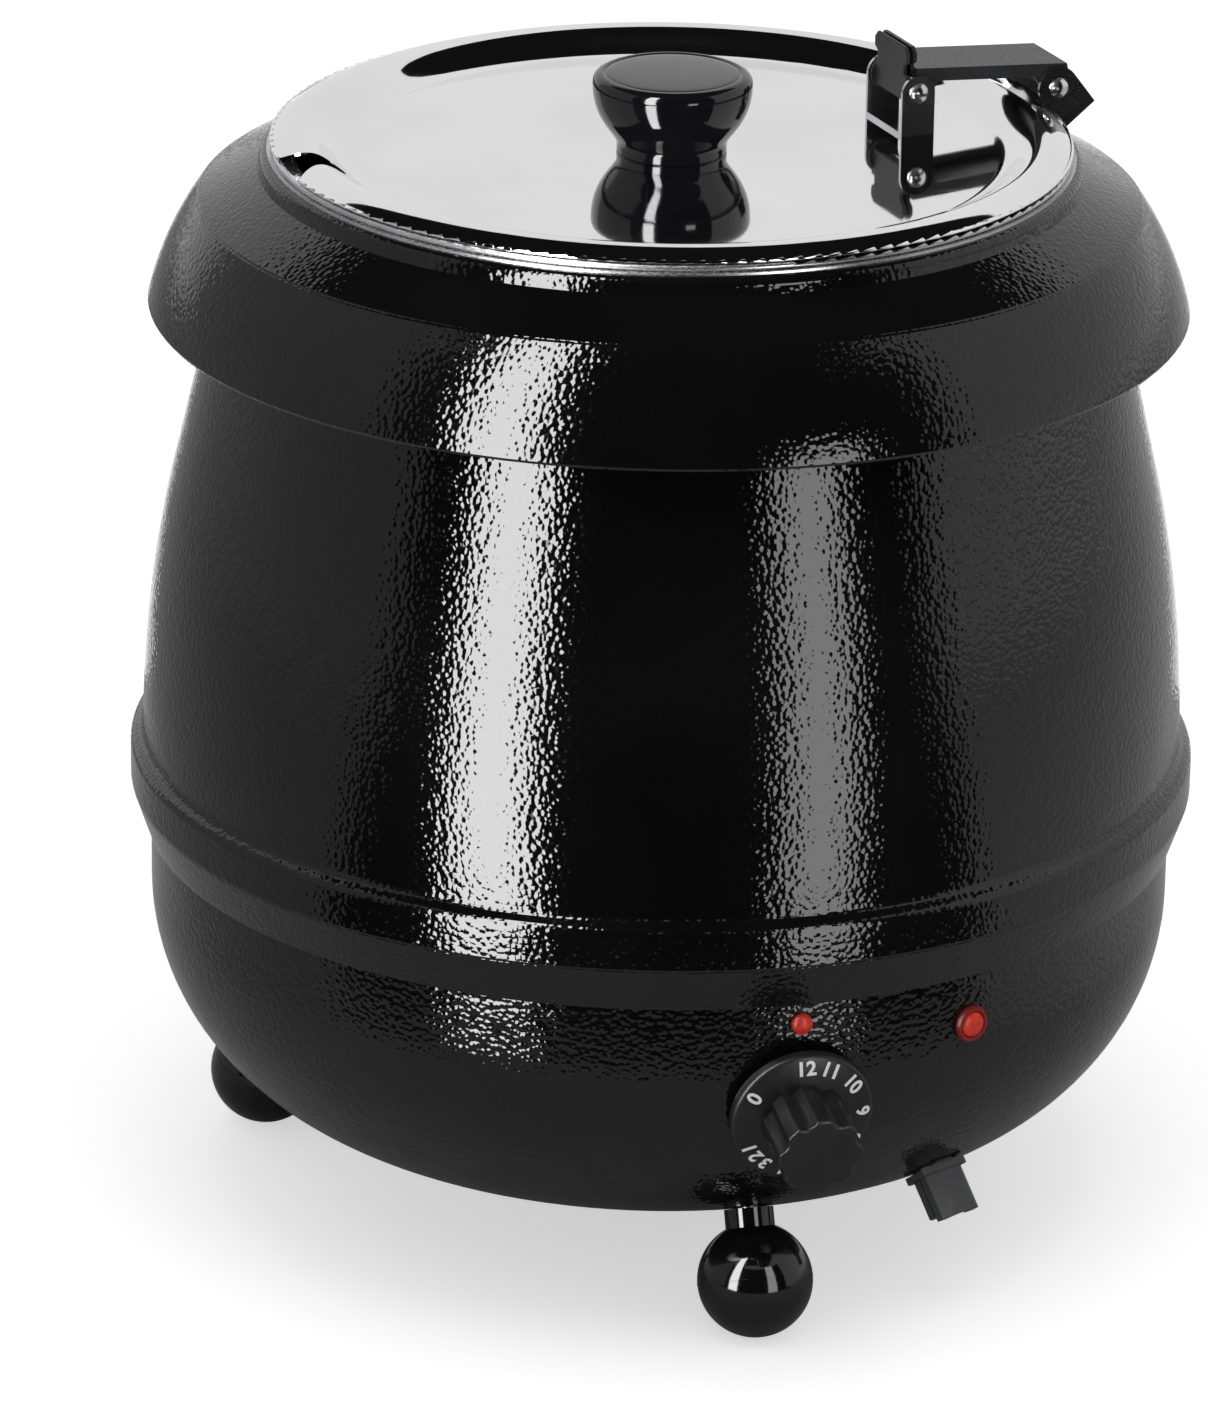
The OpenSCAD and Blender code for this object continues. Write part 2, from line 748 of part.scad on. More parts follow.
module rim_clip() {
    color("#b9bcc0") at_hinge() difference() {
        translate([rear_pivot_u, 0, rear_pivot_z]) {
            both_sides() plate(plate_in, plate_t) clip_side();
            plate(-plate_out, 2 * plate_out) clip_web();
            plate(-tongue_w / 2, tongue_w) clip_tongue();
        }
        pivot_bore(rear_pivot_u, rear_pivot_z);
        clip_rivet_places() cylinder(r = rivet_r + rivet_fit, h = 12, center = true);
    }
}

module clip_rivets() {
    wall = pot_r - tongue_leg_u;
    color("#c9ccd0") at_hinge() clip_rivet_places() {
        cylinder(r = rivet_r, h = 2 * plate_t + wall, center = true);
        for (z = [wall, -plate_t - rivet_head_h])
            translate([0, 0, z]) cylinder(r = rivet_head_r, h = rivet_head_h);
    }
}

// ---- controls -----------------------------------------------------------------------

module dial() {
    crown = dial_len - 1;
    flange = [[spindle_r + run_fit, 3.6], [dial_r - 2.4, 3.6], [dial_r - 2.4, 1.4],
        [dial_r - 0.6, 1.4], [dial_r, 2], [dial_r, 4.4], [dial_r - 1.4, 5.6],
        [grip_r + 1.4, 7.4], [grip_r - 2, 7.4], [spindle_r + run_fit, 7.4]];
    color("#151516") on_bowl(0, dial_drop) difference() {
        union() {
            turned(flange);
            translate([0, 0, 7]) linear_extrude(crown - 7) fluted();
            translate([0, 0, crown]) cylinder(r1 = grip_r - 1.6, r2 = grip_r - 2.8, h = 1);
        }
        translate([0, 0, -1]) cylinder(r = spindle_r + run_fit, h = crown - 3);
    }
}

module fluted() {
    difference() {
        circle(grip_r, $fn = 64);
        for (i = [0:grip_flutes - 1])
            rotate((i + 0.5) * 360 / grip_flutes)
                translate([grip_r + 2.6, 0]) circle(4.2, $fn = 24);
    }
}

module thermostat_spindle() {
    color("#c9ccd0") on_bowl(0, dial_drop)
        translate([0, 0, -thermostat_front - 4])
            cylinder(r = spindle_r, h = thermostat_front + dial_len - 2.5);
}

module thermostat_body() {
    w = thermostat_w;
    back = -thermostat_front - thermostat_t;
    color("#d8d5cc") on_bowl(0, dial_drop) difference() {
        union() {
            translate([-w / 2, -w / 2, back]) cube([w, w, thermostat_t]);
            translate([0, 0, -thermostat_front]) cylinder(r = bush_r, h = thermostat_front + 0.8);
            for (x = [-12, 7])
                translate([x, -w / 2 + 3, back - 4]) cube([5, 2, 4.2]);
        }
        translate([0, 0, -thermostat_front - 5])
            cylinder(r = spindle_r + run_fit, h = thermostat_front + 10);
    }
}

module thermostat_bracket() {
    color("#b9bcc0") on_bowl(0, dial_drop) difference() {
        translate([-20, -9, -thermostat_front + slip_gap]) cube([40, 18, 1.6]);
        translate([0, 0, -20]) cylinder(r = bush_r + screw_fit, h = 40);
        for (x = [-1, 1])
            translate([screw_half * x, 0, -20]) cylinder(r = screw_r + screw_fit, h = 40);
    }
}

module thermostat_screws() {
    color("#c9ccd0") on_bowl(0, dial_drop)
        for (x = [-1, 1]) translate([screw_half * x, 0, 0]) {
            translate([0, 0, -thermostat_front + 0.8]) cylinder(r = screw_r, h = thermostat_front);
            translate([0, 0, 0.2]) cylinder(r = screw_head_r, h = 1.8);
            translate([0, 0, -thermostat_front + 1.9]) ring(screw_head_r, screw_r, 3.2);
        }
}

module thermostat_bulb() {
    color("#c58a52") translate([0, 0, well_under_z - bulb_r - slip_gap])
        rotate([0, 0, 180])
            rotate_extrude(angle = 80) translate([bulb_ring_r, 0]) circle(bulb_r, $fn = 24);
}

module bulb_clips() {
    color("#b9bcc0")
        for (a = [195, 245])
            rotate([0, 0, a])
                translate([bulb_ring_r, 0, well_under_z]) difference() {
                    r = bulb_r + 0.5;
                    translate([-2 * bulb_r, -3, -7.6]) cube([4 * bulb_r, 6, 7.6]);
                    translate([0, 0, -bulb_r - slip_gap])
                        rotate([90, 0, 0]) cylinder(r = r, h = 20, center = true);
                    translate([-r, -4, -bulb_r - slip_gap]) cube([2 * r, 8, 4]);
                }
}

module power_lamp() {
    r = power_lamp_r;
    color("#c01818") on_wall(0, bowl_z + power_lamp_h)
        rotate_extrude()
            polygon(concat([[0, -12], [power_stem_r, -12], [power_stem_r, 0.1], [r, 0.1]],
                dome(r, 0.9, 2), [[0, 0.9 + 2]]));
}

module lamp_nut(r, h) {
    color("#e2dfd5") hex_nut(r + 3, r + screw_fit, h);
}

module power_lamp_nut() {
    on_wall(0, bowl_z + power_lamp_h)
        translate([0, 0, lamp_nut_z]) lamp_nut(power_stem_r, lamp_nut_h);
}

module heat_lamp_bezel() {
    r = heat_lamp_r;
    color("#8c1414") on_wall(heat_lamp_azimuth, bowl_z + heat_lamp_h)
        rotate_extrude()
            polygon([[r - 1.8, -16], [heat_stem_r, -16], [heat_stem_r, 0.2], [r, 0.2], [r, 1.2],
                [r - 0.5, 2.1], [r - 1.3, 2.1], [r - 1.8, 1.5]]);
}

module heat_lamp_lens() {
    r = heat_lamp_r - 1.8 - run_fit;
    color("#d62020") on_wall(heat_lamp_azimuth, bowl_z + heat_lamp_h)
        rotate_extrude()
            polygon(concat([[0, -14], [r, -14], [r, 1.4]], dome(r, 1.4, 1.8)));
}

module heat_lamp_nut() {
    on_wall(heat_lamp_azimuth, bowl_z + heat_lamp_h)
        translate([0, 0, lamp_nut_z]) lamp_nut(heat_stem_r, lamp_nut_h);
}

// Chamfered block seen along the cord
module gland_outline(w, h) {
    x = w / 2;
    y = h / 2;
    c = gland_chamfer;
    polygon([[c - x, -y], [x - c, -y], [x, c - y], [x, y - c],
        [x - c, y], [c - x, y], [-x, y - c], [-x, c - y]]);
}

// One half of the gland: the body with its bush above, or the clamp below
module gland_half(upper) {
    h = gland_w * 0.86;
    wide = 3 * gland_w;
    half = upper ? gland_split : -gland_split - wide;
    reach = upper ? gland_len : gland_len - gland_step;
    intersection() {
        difference() {
            union() {
                translate([0, 0, gland_seat])
                    linear_extrude(gland_base_h - gland_seat) gland_outline(gland_w + 3, h + 3);
                translate([0, 0, gland_seat])
                    linear_extrude(reach - gland_seat) gland_outline(gland_w, h);
                if (upper) translate([0, 0, -gland_bush_h])
                    cylinder(r = gland_bush_r, h = gland_bush_h + 2);
            }
            translate([0, 0, -8]) cylinder(r = cord_r, h = gland_len + 20);
        }
        union() {
            if (upper) translate([-wide / 2, -wide / 2, -10])
                cube([wide, wide, 10 + gland_base_h]);
            translate([-wide / 2, half, gland_base_h + (upper ? -1 : gland_split)])
                cube([wide, wide, gland_len + 10]);
        }
    }
}

module gland_body() {
    color("#2b2c2e") on_bowl(gland_azimuth, gland_drop) gland_half(true);
}

module gland_clamp() {
    color("#2b2c2e") on_bowl(gland_azimuth, gland_drop) gland_half(false);
}

module gland_nut() {
    color("#2b2c2e") on_bowl(gland_azimuth, gland_drop)
        translate([0, 0, -6.6]) hex_nut(gland_bush_r + 3.6, gland_bush_r + run_fit, 4.2);
}

// ---- feet ---------------------------------------------------------------------------

module foot(turn) {
    color("#0e0e0f") on_bowl(foot_turn + turn, foot_drop) difference() {
        union() {
            cylinder(r = foot_neck_r, h = foot_neck_h + 3);
            translate([0, 0, foot_neck_h + foot_r]) sphere(foot_r, $fn = 96);
        }
        translate([0, 0, -1]) cylinder(r = foot_stud_r + run_fit, h = foot_neck_h + foot_r);
    }
}

module foot_front() foot(0);
module foot_left() foot(-foot_spread);
module foot_right() foot(foot_spread);

module foot_studs() {
    color("#c9ccd0") at_feet()
        translate([0, 0, -stud_h])
            cylinder(r = foot_stud_r, h = stud_h + foot_neck_h + foot_r - 2);
}

module foot_washers() {
    color("#b9bcc0") at_feet()
        translate([0, 0, -sheet_t - 2.2]) ring(washer_r, foot_stud_r + 0.1, washer_t);
}

module foot_nuts() {
    color("#c9ccd0") at_feet()
        translate([0, 0, -sheet_t - 2.3 - nut_t])
            hex_nut(nut_r, foot_stud_r + run_fit, nut_t);
}

// ---- heating ------------------------------------------------------------------------

module heating_element() {
    color("#6f6a63") translate([0, 0, element_z]) {
        rotate([0, 0, -90 + element_gap / 2])
            rotate_extrude(angle = 360 - element_gap)
                translate([element_ring_r, 0]) circle(element_r, $fn = 32);
        for (side = [-1, 1])
            rotate([0, 0, side * element_gap / 2])
                translate([0, -element_ring_r, -element_leg_h])
                    cylinder(r = element_r, h = element_leg_h);
    }
}

module element_saddles() {
    r = element_r + 0.1;
    color("#b9bcc0")
        for (a = [30, 150, 270])
            rotate([0, 0, a + 15])
                translate([element_ring_r, 0, well_under_z]) difference() {
                    translate([-12, -4, -2 * r - 1.2]) cube([24, 8, 2 * r + 1.2]);
                    translate([-r, -5, -2 * r]) cube([2 * r, 10, 2 * r + 1]);
                    for (x = [-13, 7])
                        translate([x, -5, -2 * r - 2]) cube([6, 10, 2 * r + 0.8]);
                }
}

module heat_shield() {
    color("#a7abb0") translate([0, 0, shield_z]) difference() {
        union() {
            cylinder(r = shield_r, h = steel_t);
            ring(shield_r, shield_r - steel_t, shield_lip_h);
        }
        for (side = [-1, 1])
            rotate([0, 0, side * element_gap / 2])
                translate([0, -element_ring_r, -1]) cylinder(r = element_r + 2, h = 5);
        at_ties() translate([0, 0, -1]) cylinder(r = tie_r + screw_fit, h = 5);
    }
}

module tie_rods() {
    color("#c9ccd0") at_ties() {
        translate([0, 0, bowl_floor_z - tie_head_h])
            cylinder(r = tie_r, h = well_under_z - bowl_floor_z + tie_head_h - run_fit);
        translate([0, 0, bowl_floor_z - tie_head_h]) cylinder(r = tie_nut_r, h = tie_head_h);
    }
}

module tie_nuts() {
    color("#c9ccd0") at_ties()
        for (z = [floor_in_z, shield_z - tie_nut_h, shield_z + steel_t])
            translate([0, 0, z]) hex_nut(tie_nut_r, tie_r + run_fit, tie_nut_h);
}

module at_block() {
    rotate([0, 0, gland_azimuth]) translate([0, -block_out, block_z]) children();
}

module terminal_block() {
    color("#ece8dc") at_block() difference() {
        union() {
            translate([-block_w / 2, -block_d / 2, 0]) cube([block_w, block_d, block_h - 5]);
            for (i = [-1:1])
                translate([i * block_pitch - 4, -block_d / 2, 0]) cube([8, block_d, block_h]);
        }
        for (i = [-1:1]) translate([i * block_pitch, 0, 0]) {
            translate([0, 0, 4]) cylinder(r = screw_r, h = block_h);
            translate([0, 0, 6])
                rotate([90, 0, 0]) cylinder(r = 2.4, h = block_d + 2, center = true);
        }
    }
}

module terminal_screws() {
    color("#c8a24a") at_block()
        for (i = [-1:1])
            translate([i * block_pitch, 0, 4]) cylinder(r = screw_r - 0.1, h = block_h - 6);
}

module terminal_bracket() {
    color("#b9bcc0") at_block()
        translate([-block_w / 2 - 6, -block_d / 2, -2]) cube([block_w + 12, block_d, 2]);
}

module thermal_cutout() {
    color("#1a1a1b") rotate([0, 0, 60]) {
        translate([24, 0, well_under_z - 9]) cylinder(r = 8, h = 9);
        translate([24, 0, well_under_z - 10.2]) cylinder(r = 5, h = 1.4);
        for (y = [-1, 1])
            translate([23, y * 5 - 0.4, well_under_z - 15]) cube([6, 0.8, 7]);
    }
}

module earth_stud() {
    color("#c8a24a") rotate([0, 0, gland_azimuth + 24])
        translate([0, -66, floor_in_z]) {
            cylinder(r = 2, h = 16);
            for (z = [0, 9])
                translate([0, 0, z]) hex_nut(4.2, 1.9, 3);
        }
}

collar();
upper_shell();
lower_bowl();
water_well();
inner_pot();
lid();
lid_knob();
knob_screw();
lid_bracket();
front_pin();
hinge_arm();
rim_clip();
clip_rivets();
rear_pin();
dial();
thermostat_spindle();
thermostat_body();
thermostat_bracket();
thermostat_screws();
thermostat_bulb();
bulb_clips();
power_lamp();
power_lamp_nut();
heat_lamp_bezel();
heat_lamp_lens();
heat_lamp_nut();
gland_body();
gland_clamp();
gland_nut();
foot_front();
foot_left();
foot_right();
foot_studs();
foot_washers();
foot_nuts();
heating_element();
element_saddles();
heat_shield();
tie_rods();
tie_nuts();
terminal_block();
terminal_screws();
terminal_bracket();
thermal_cutout();
earth_stud();
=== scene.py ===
"""Finishes, printed numbers, lights and camera for the soup kettle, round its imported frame."""

import json
import math

import bmesh
import bpy
from mathutils import Matrix, Vector
from mathutils.geometry import interpolate_bezier


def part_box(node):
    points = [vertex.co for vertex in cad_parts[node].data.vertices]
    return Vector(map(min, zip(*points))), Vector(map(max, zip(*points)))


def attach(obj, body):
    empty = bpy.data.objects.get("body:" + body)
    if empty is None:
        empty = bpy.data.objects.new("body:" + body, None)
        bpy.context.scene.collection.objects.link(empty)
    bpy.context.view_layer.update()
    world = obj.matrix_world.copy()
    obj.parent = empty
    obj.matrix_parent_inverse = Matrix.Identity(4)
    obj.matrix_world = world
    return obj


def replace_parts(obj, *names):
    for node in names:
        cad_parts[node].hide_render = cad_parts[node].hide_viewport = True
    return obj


bl_info = {
    "name": "Soup kettle",
    "version": (1, 0, 0),
    "blender": (4, 5, 0),
    "location": "View3D > Sidebar > Soup kettle",
    "description": "Dresses the soup kettle: shells, lid, hinge, dial, lamps, gland and feet",
    "category": "Object",
}

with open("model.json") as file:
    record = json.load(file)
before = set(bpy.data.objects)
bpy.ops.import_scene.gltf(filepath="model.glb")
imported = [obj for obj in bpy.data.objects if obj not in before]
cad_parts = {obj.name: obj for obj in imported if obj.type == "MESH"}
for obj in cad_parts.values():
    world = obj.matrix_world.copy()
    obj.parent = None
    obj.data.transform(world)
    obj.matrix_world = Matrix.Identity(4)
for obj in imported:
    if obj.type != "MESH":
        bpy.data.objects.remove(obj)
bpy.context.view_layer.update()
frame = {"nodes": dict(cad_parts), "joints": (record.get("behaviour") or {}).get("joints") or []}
NODES = frame["nodes"]
JOINTS = {joint["name"]: joint for joint in frame["joints"]}
MM = 0.001


# ---- places worked out from the frame -------------------------------------------------


def box_min(node):
    """The lowest corner of a node."""
    return Vector(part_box(node)[0])


def box_max(node):
    """The highest corner of a node."""
    return Vector(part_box(node)[1])


# Bowl: the corner is the round between its wall and its floor
BOWL_R = box_max("lower_bowl").x
BOWL_FLOOR = box_min("lower_bowl").z
BOWL_CORNER = 76 * MM
BOWL_CORNER_Z = BOWL_FLOOR + BOWL_CORNER

# Dial: heights are measured outwards from the bowl, square to its wall
DIAL_DROP = math.radians(11.8)
DIAL_R = 23.2 * MM
FACE_FALL = math.atan2(1.8, 6.4)
PRINT_LEVEL = 6.53 * MM
GRIP_R = 13.8 * MM
GRIP_END = 27.5 * MM
GRIP_FLUTES = 8

# Feet: the ball hangs by a short neck, square to the bowl's corner
FOOT_DROP = math.radians(64)
FOOT_R = 18.7 * MM
FOOT_NECK = 4.4 * MM
FOOT_TURNS = {"foot_front": math.radians(-1.5), "foot_left": math.radians(-119),
              "foot_right": math.radians(116)}


def on_bowl(turn, drop, out=0.0):
    """Matrix of a place on the bowl's corner: local Z points outwards, local Y up the wall."""
    centre = Vector((0, -(BOWL_R - BOWL_CORNER), BOWL_CORNER_Z))
    tilt = Matrix.Rotation(math.radians(90) + drop, 4, "X")
    reach = Matrix.Translation((0, 0, BOWL_CORNER + out))
    return Matrix.Rotation(turn, 4, "Z") @ Matrix.Translation(centre) @ tilt @ reach


# ---- properties -------------------------------------------------------------------------


class KettleSizes(bpy.types.PropertyGroup):
    """Sizes of the dressed details."""

    number_height: bpy.props.FloatProperty(
        name="Number height", description="Height of the dial's printed numbers",
        default=4.9 * MM, subtype="DISTANCE", unit="LENGTH")
    number_radius: bpy.props.FloatProperty(
        name="Number radius", description="Distance of the numbers' middles from the dial's axis",
        default=19.2 * MM, subtype="DISTANCE", unit="LENGTH")
    hammer_cell: bpy.props.FloatProperty(
        name="Hammer cell", description="Width of one dimple of the hammered paint",
        default=1.9 * MM, subtype="DISTANCE", unit="LENGTH")
    hammer_depth: bpy.props.FloatProperty(
        name="Hammer depth", description="Depth of the hammered paint's dimples",
        default=0.06 * MM, subtype="DISTANCE", unit="LENGTH")
    edge_round: bpy.props.FloatProperty(
        name="Edge round", description="Rounding of the pressed plates' edges",
        default=0.25 * MM, subtype="DISTANCE", unit="LENGTH")
    camera_distance: bpy.props.FloatProperty(
        name="Camera distance", description="Level distance of the camera from the kettle's axis",
        default=2.546, subtype="DISTANCE", unit="LENGTH")
    camera_height: bpy.props.FloatProperty(
        name="Camera height", description="Height of the camera above the floor",
        default=1.1476, subtype="DISTANCE", unit="LENGTH")
    camera_turn: bpy.props.FloatProperty(
        name="Camera turn", description="Turn of the camera round the kettle from the front",
        default=math.radians(-15.8), subtype="ANGLE", unit="ROTATION")
    camera_roll: bpy.props.FloatProperty(
        name="Camera roll", description="Roll of the camera about its line of sight",
        default=math.radians(0.9), subtype="ANGLE", unit="ROTATION")
    floor_glow: bpy.props.FloatProperty(
        name="Floor glow", description="White added to the floor where it is seen", default=0.56,
        min=0.0, max=1.0)
    lens: bpy.props.FloatProperty(
        name="Lens", description="Focal length of the camera in millimetres",
        default=209.0, min=20.0)


def colour_property(label, words, value):
    """A colour property with its default."""
    return bpy.props.FloatVectorProperty(
        name=label, description=words, default=value, subtype="COLOR", size=3, min=0.0, max=1.0)


class KettleColours(bpy.types.PropertyGroup):
    """Colours of the finishes."""

    paint: colour_property("Paint", "Hammered black powder coat", (0.0045, 0.0045, 0.0048))
    arm_paint: colour_property(
        "Arm paint", "Satin black paint of the hinge arm", (0.012, 0.0125, 0.014))
    mirror: colour_property("Mirror steel", "Polished stainless of the lid", (0.86, 0.86, 0.87))
    steel: colour_property(
        "Satin steel", "Satin stainless of the pot and the well", (0.56, 0.56, 0.57))
    plated: colour_property(
        "Plated steel", "Bright steel of the hinge, pins and screws", (0.66, 0.66, 0.67))
    knob: colour_property(
        "Gloss plastic", "Gloss black plastic of knob and feet", (0.006, 0.006, 0.007))
    dial: colour_property("Dial plastic", "Satin black plastic of the dial", (0.009, 0.009, 0.0095))
    gland: colour_property(
        "Gland plastic", "Dark grey nylon of the cord gland", (0.045, 0.046, 0.050))
    lens: colour_property("Lamp lens", "Red of the lamp lenses", (0.58, 0.026, 0.012))
    bezel: colour_property("Lamp ring", "Dark red of the lamp's ring", (0.22, 0.012, 0.010))
    print_white: colour_property("Print", "White of the printed numbers", (0.90, 0.90, 0.89))
    floor: colour_property("Floor", "Pale floor", (0.78, 0.78, 0.78))


def sizes():
    """The scene's sizes."""
    return bpy.context.scene.kettle_sizes


def colours():
    """The scene's colours."""
    return bpy.context.scene.kettle_colours


# ---- materials --------------------------------------------------------------------------


class Finish:
    """A node material on one principled shader, built up a layer at a time."""

    def __init__(self, name, colour, metallic=0.0, roughness=0.5, specular=0.5):
        self.material = bpy.data.materials.new(name)
        self.material.use_nodes = True
        self.nodes = self.material.node_tree.nodes
        self.links = self.material.node_tree.links
        self.shader = self.nodes["Principled BSDF"]
        self.set("Base Color", (*colour, 1.0))
        self.set("Metallic", metallic)
        self.set("Roughness", roughness)
        self.set("Specular IOR Level", specular)
        self.coords = self.nodes.new("ShaderNodeTexCoord")
        self.normal = None

    def set(self, socket, value):
        """Sets a constant on the shader's own socket."""
        self.shader.inputs[socket].default_value = value
        return self

    def noise(self, cell, detail=2.0, stretch=(1, 1, 1)):
        """A noise whose features are about one cell wide."""
        mapping = self.nodes.new("ShaderNodeMapping")
        mapping.inputs["Scale"].default_value = stretch
        noise = self.nodes.new("ShaderNodeTexNoise")
        noise.inputs["Scale"].default_value = 1 / cell
        noise.inputs["Detail"].default_value = detail
        self.links.new(self.coords.outputs["Object"], mapping.inputs["Vector"])
        self.links.new(mapping.outputs["Vector"], noise.inputs["Vector"])
        return noise.outputs["Fac"]

    def pebbles(self, cell):
        """Rounded bumps packed side by side, each about one cell wide."""
        stones = self.nodes.new("ShaderNodeTexVoronoi")
        stones.feature = "SMOOTH_F1"
        stones.inputs["Scale"].default_value = 1 / cell
        stones.inputs["Smoothness"].default_value = 0.42
        stones.inputs["Randomness"].default_value = 0.9
        self.links.new(self.coords.outputs["Object"], stones.inputs["Vector"])
        return self.ramp(stones.outputs["Distance"], 1.0, 0.0, 0.0, 0.8)

    def ramp(self, source, low, high, start=0.3, stop=0.7):
        """The source spread from low to high."""
        spread = self.nodes.new("ShaderNodeMapRange")
        spread.inputs["From Min"].default_value = start
        spread.inputs["From Max"].default_value = stop
        spread.inputs["To Min"].default_value = low
        spread.inputs["To Max"].default_value = high
        self.links.new(source, spread.inputs["Value"])
        return spread.outputs["Result"]

    def rough(self, source, low, high, start=0.3, stop=0.7):
        """Roughness that wanders between low and high."""
        self.links.new(self.ramp(source, low, high, start, stop), self.shader.inputs["Roughness"])
        return self

    def tint(self, source, dark, light, start=0.3, stop=0.7):
        """Colour that wanders between dark and light."""
        blend = self.nodes.new("ShaderNodeMix")
        blend.data_type = "RGBA"
        blend.inputs["A"].default_value = (*dark, 1.0)
        blend.inputs["B"].default_value = (*light, 1.0)
        self.links.new(self.ramp(source, 0.0, 1.0, start, stop), blend.inputs["Factor"])
        self.links.new(blend.outputs["Result"], self.shader.inputs["Base Color"])
        return self

    def bump(self, source, depth, strength=1.0):
        """Relief of a given depth, laid over the relief before it."""
        relief = self.nodes.new("ShaderNodeBump")
        relief.inputs["Distance"].default_value = depth
        relief.inputs["Strength"].default_value = strength
        self.links.new(source, relief.inputs["Height"])
        if self.normal:
            self.links.new(self.normal, relief.inputs["Normal"])
        self.normal = relief.outputs["Normal"]
        self.links.new(self.normal, self.shader.inputs["Normal"])
        return self


def scaled(colour, factor):
    """A colour made darker or lighter."""
    return tuple(min(1.0, c * factor) for c in colour)


def hammered_paint():
    """Gloss black powder coat with a hammered relief."""
    c, s = colours().paint, sizes()
    paint = Finish("hammered_paint", c, roughness=0.06, specular=0.45)
    pebbles = paint.pebbles(s.hammer_cell)
    grain = paint.noise(s.hammer_cell / 3, detail=1.0)
    patches = paint.noise(60 * MM, detail=2.0)
    paint.bump(pebbles, s.hammer_depth * 2.0)
    paint.bump(grain, s.hammer_depth * 0.08)
    paint.tint(patches, scaled(c, 0.8), scaled(c, 1.3))
    return paint.rough(grain, 0.045, 0.085).material


def mirror_steel():
    """Mirror-polished stainless with faint wipe marks."""
    c = colours().mirror
    steel = Finish("mirror_steel", c, metallic=1.0, roughness=0.055)
    wipes = steel.noise(9 * MM, detail=4.0, stretch=(1, 6, 1))
    haze = steel.noise(70 * MM, detail=3.0)
    steel.tint(haze, scaled(c, 0.96), scaled(c, 1.03))
    steel.bump(haze, 0.02 * MM)
    return steel.rough(wipes, 0.025, 0.06).material


def pot_steel():
    """Satin stainless with fine drawn lines."""
    c = colours().steel
    steel = Finish("pot_steel", c, metallic=1.0, roughness=0.28)
    lines = steel.noise(1.2 * MM, detail=3.0, stretch=(1, 1, 12))
    steel.tint(steel.noise(14 * MM), scaled(c, 0.9), scaled(c, 1.1))
    steel.bump(lines, 0.01 * MM)
    return steel.rough(lines, 0.2, 0.36).material


def hinge_steel():
    """Polished steel plate of the hinge, with faint rolling lines."""
    c = colours().plated
    steel = Finish("hinge_steel", c, metallic=1.0, roughness=0.12)
    lines = steel.noise(1.5 * MM, detail=2.0, stretch=(1, 1, 6))
    steel.tint(steel.noise(9 * MM), scaled(c, 0.85), scaled(c, 1.05))
    steel.bump(lines, 0.003 * MM)
    return steel.rough(lines, 0.09, 0.16).material


def plated_steel():
    """Bright plated pins and screws."""
    c = colours().plated
    plated = Finish("plated_steel", c, metallic=1.0, roughness=0.16)
    spots = plated.noise(1.5 * MM, detail=3.0)
    plated.tint(spots, scaled(c, 0.88), scaled(c, 1.08))
    plated.bump(spots, 0.01 * MM)
    return plated.rough(spots, 0.12, 0.26).material


def gloss_plastic():
    """Gloss black moulded plastic of the knob and the feet."""
    c = colours().knob
    plastic = Finish("gloss_plastic", c, roughness=0.07)
    ripple = plastic.noise(12 * MM, detail=2.0)
    dust = plastic.noise(0.8 * MM, detail=2.0)
    plastic.tint(ripple, scaled(c, 0.8), scaled(c, 1.4))
    plastic.bump(ripple, 0.03 * MM)
    return plastic.rough(dust, 0.05, 0.11).material


def dial_plastic():
    """Satin black plastic with a fine moulded grain."""
    c = colours().dial
    plastic = Finish("dial_plastic", c, roughness=0.34, specular=0.35)
    grain = plastic.noise(0.45 * MM, detail=2.0)
    plastic.tint(plastic.noise(8 * MM), scaled(c, 0.8), scaled(c, 1.3))
    plastic.bump(grain, 0.02 * MM)
    return plastic.rough(grain, 0.28, 0.42).material


def gland_plastic():
    """Dark grey nylon with flow marks."""
    c = colours().gland
    plastic = Finish("gland_plastic", c, roughness=0.45)
    flow = plastic.noise(3 * MM, detail=3.0, stretch=(1, 1, 3))
    grain = plastic.noise(0.5 * MM)
    plastic.tint(flow, scaled(c, 0.75), scaled(c, 1.35))
    plastic.bump(grain, 0.03 * MM)
    return plastic.rough(grain, 0.36, 0.55).material


def arm_paint():
    """Satin black paint on pressed steel."""
    c = colours().arm_paint
    paint = Finish("arm_paint", c, roughness=0.36)
    peel = paint.noise(0.9 * MM, detail=2.0)
    paint.tint(paint.noise(10 * MM), scaled(c, 0.8), scaled(c, 1.3))
    paint.bump(peel, 0.03 * MM)
    return paint.rough(peel, 0.3, 0.44).material


def lamp_lens():
    """Satin red lens with a faint glow."""
    c = colours().lens
    lens = Finish("lamp_lens", c, roughness=0.32, specular=0.3)
    depth = lens.noise(1.6 * MM, detail=2.0)
    lens.tint(depth, scaled(c, 0.75), scaled(c, 1.25))
    lens.set("Emission Color", (*c, 1.0)).set("Emission Strength", 0.08)
    return lens.bump(depth, 0.05 * MM).material


def lamp_ring():
    """Dark red moulded ring round the larger lamp."""
    c = colours().bezel
    ring = Finish("lamp_ring", c, roughness=0.34, specular=0.3)
    grain = ring.noise(0.8 * MM)
    ring.tint(grain, scaled(c, 0.85), scaled(c, 1.2))
    return ring.bump(grain, 0.015 * MM).material


def number_print():
    """White pad print, a little uneven."""
    c = colours().print_white
    ink = Finish("number_print", c, roughness=0.5)
    spots = ink.noise(0.3 * MM)
    ink.tint(spots, scaled(c, 0.9), c)
    return ink.bump(spots, 0.01 * MM).material


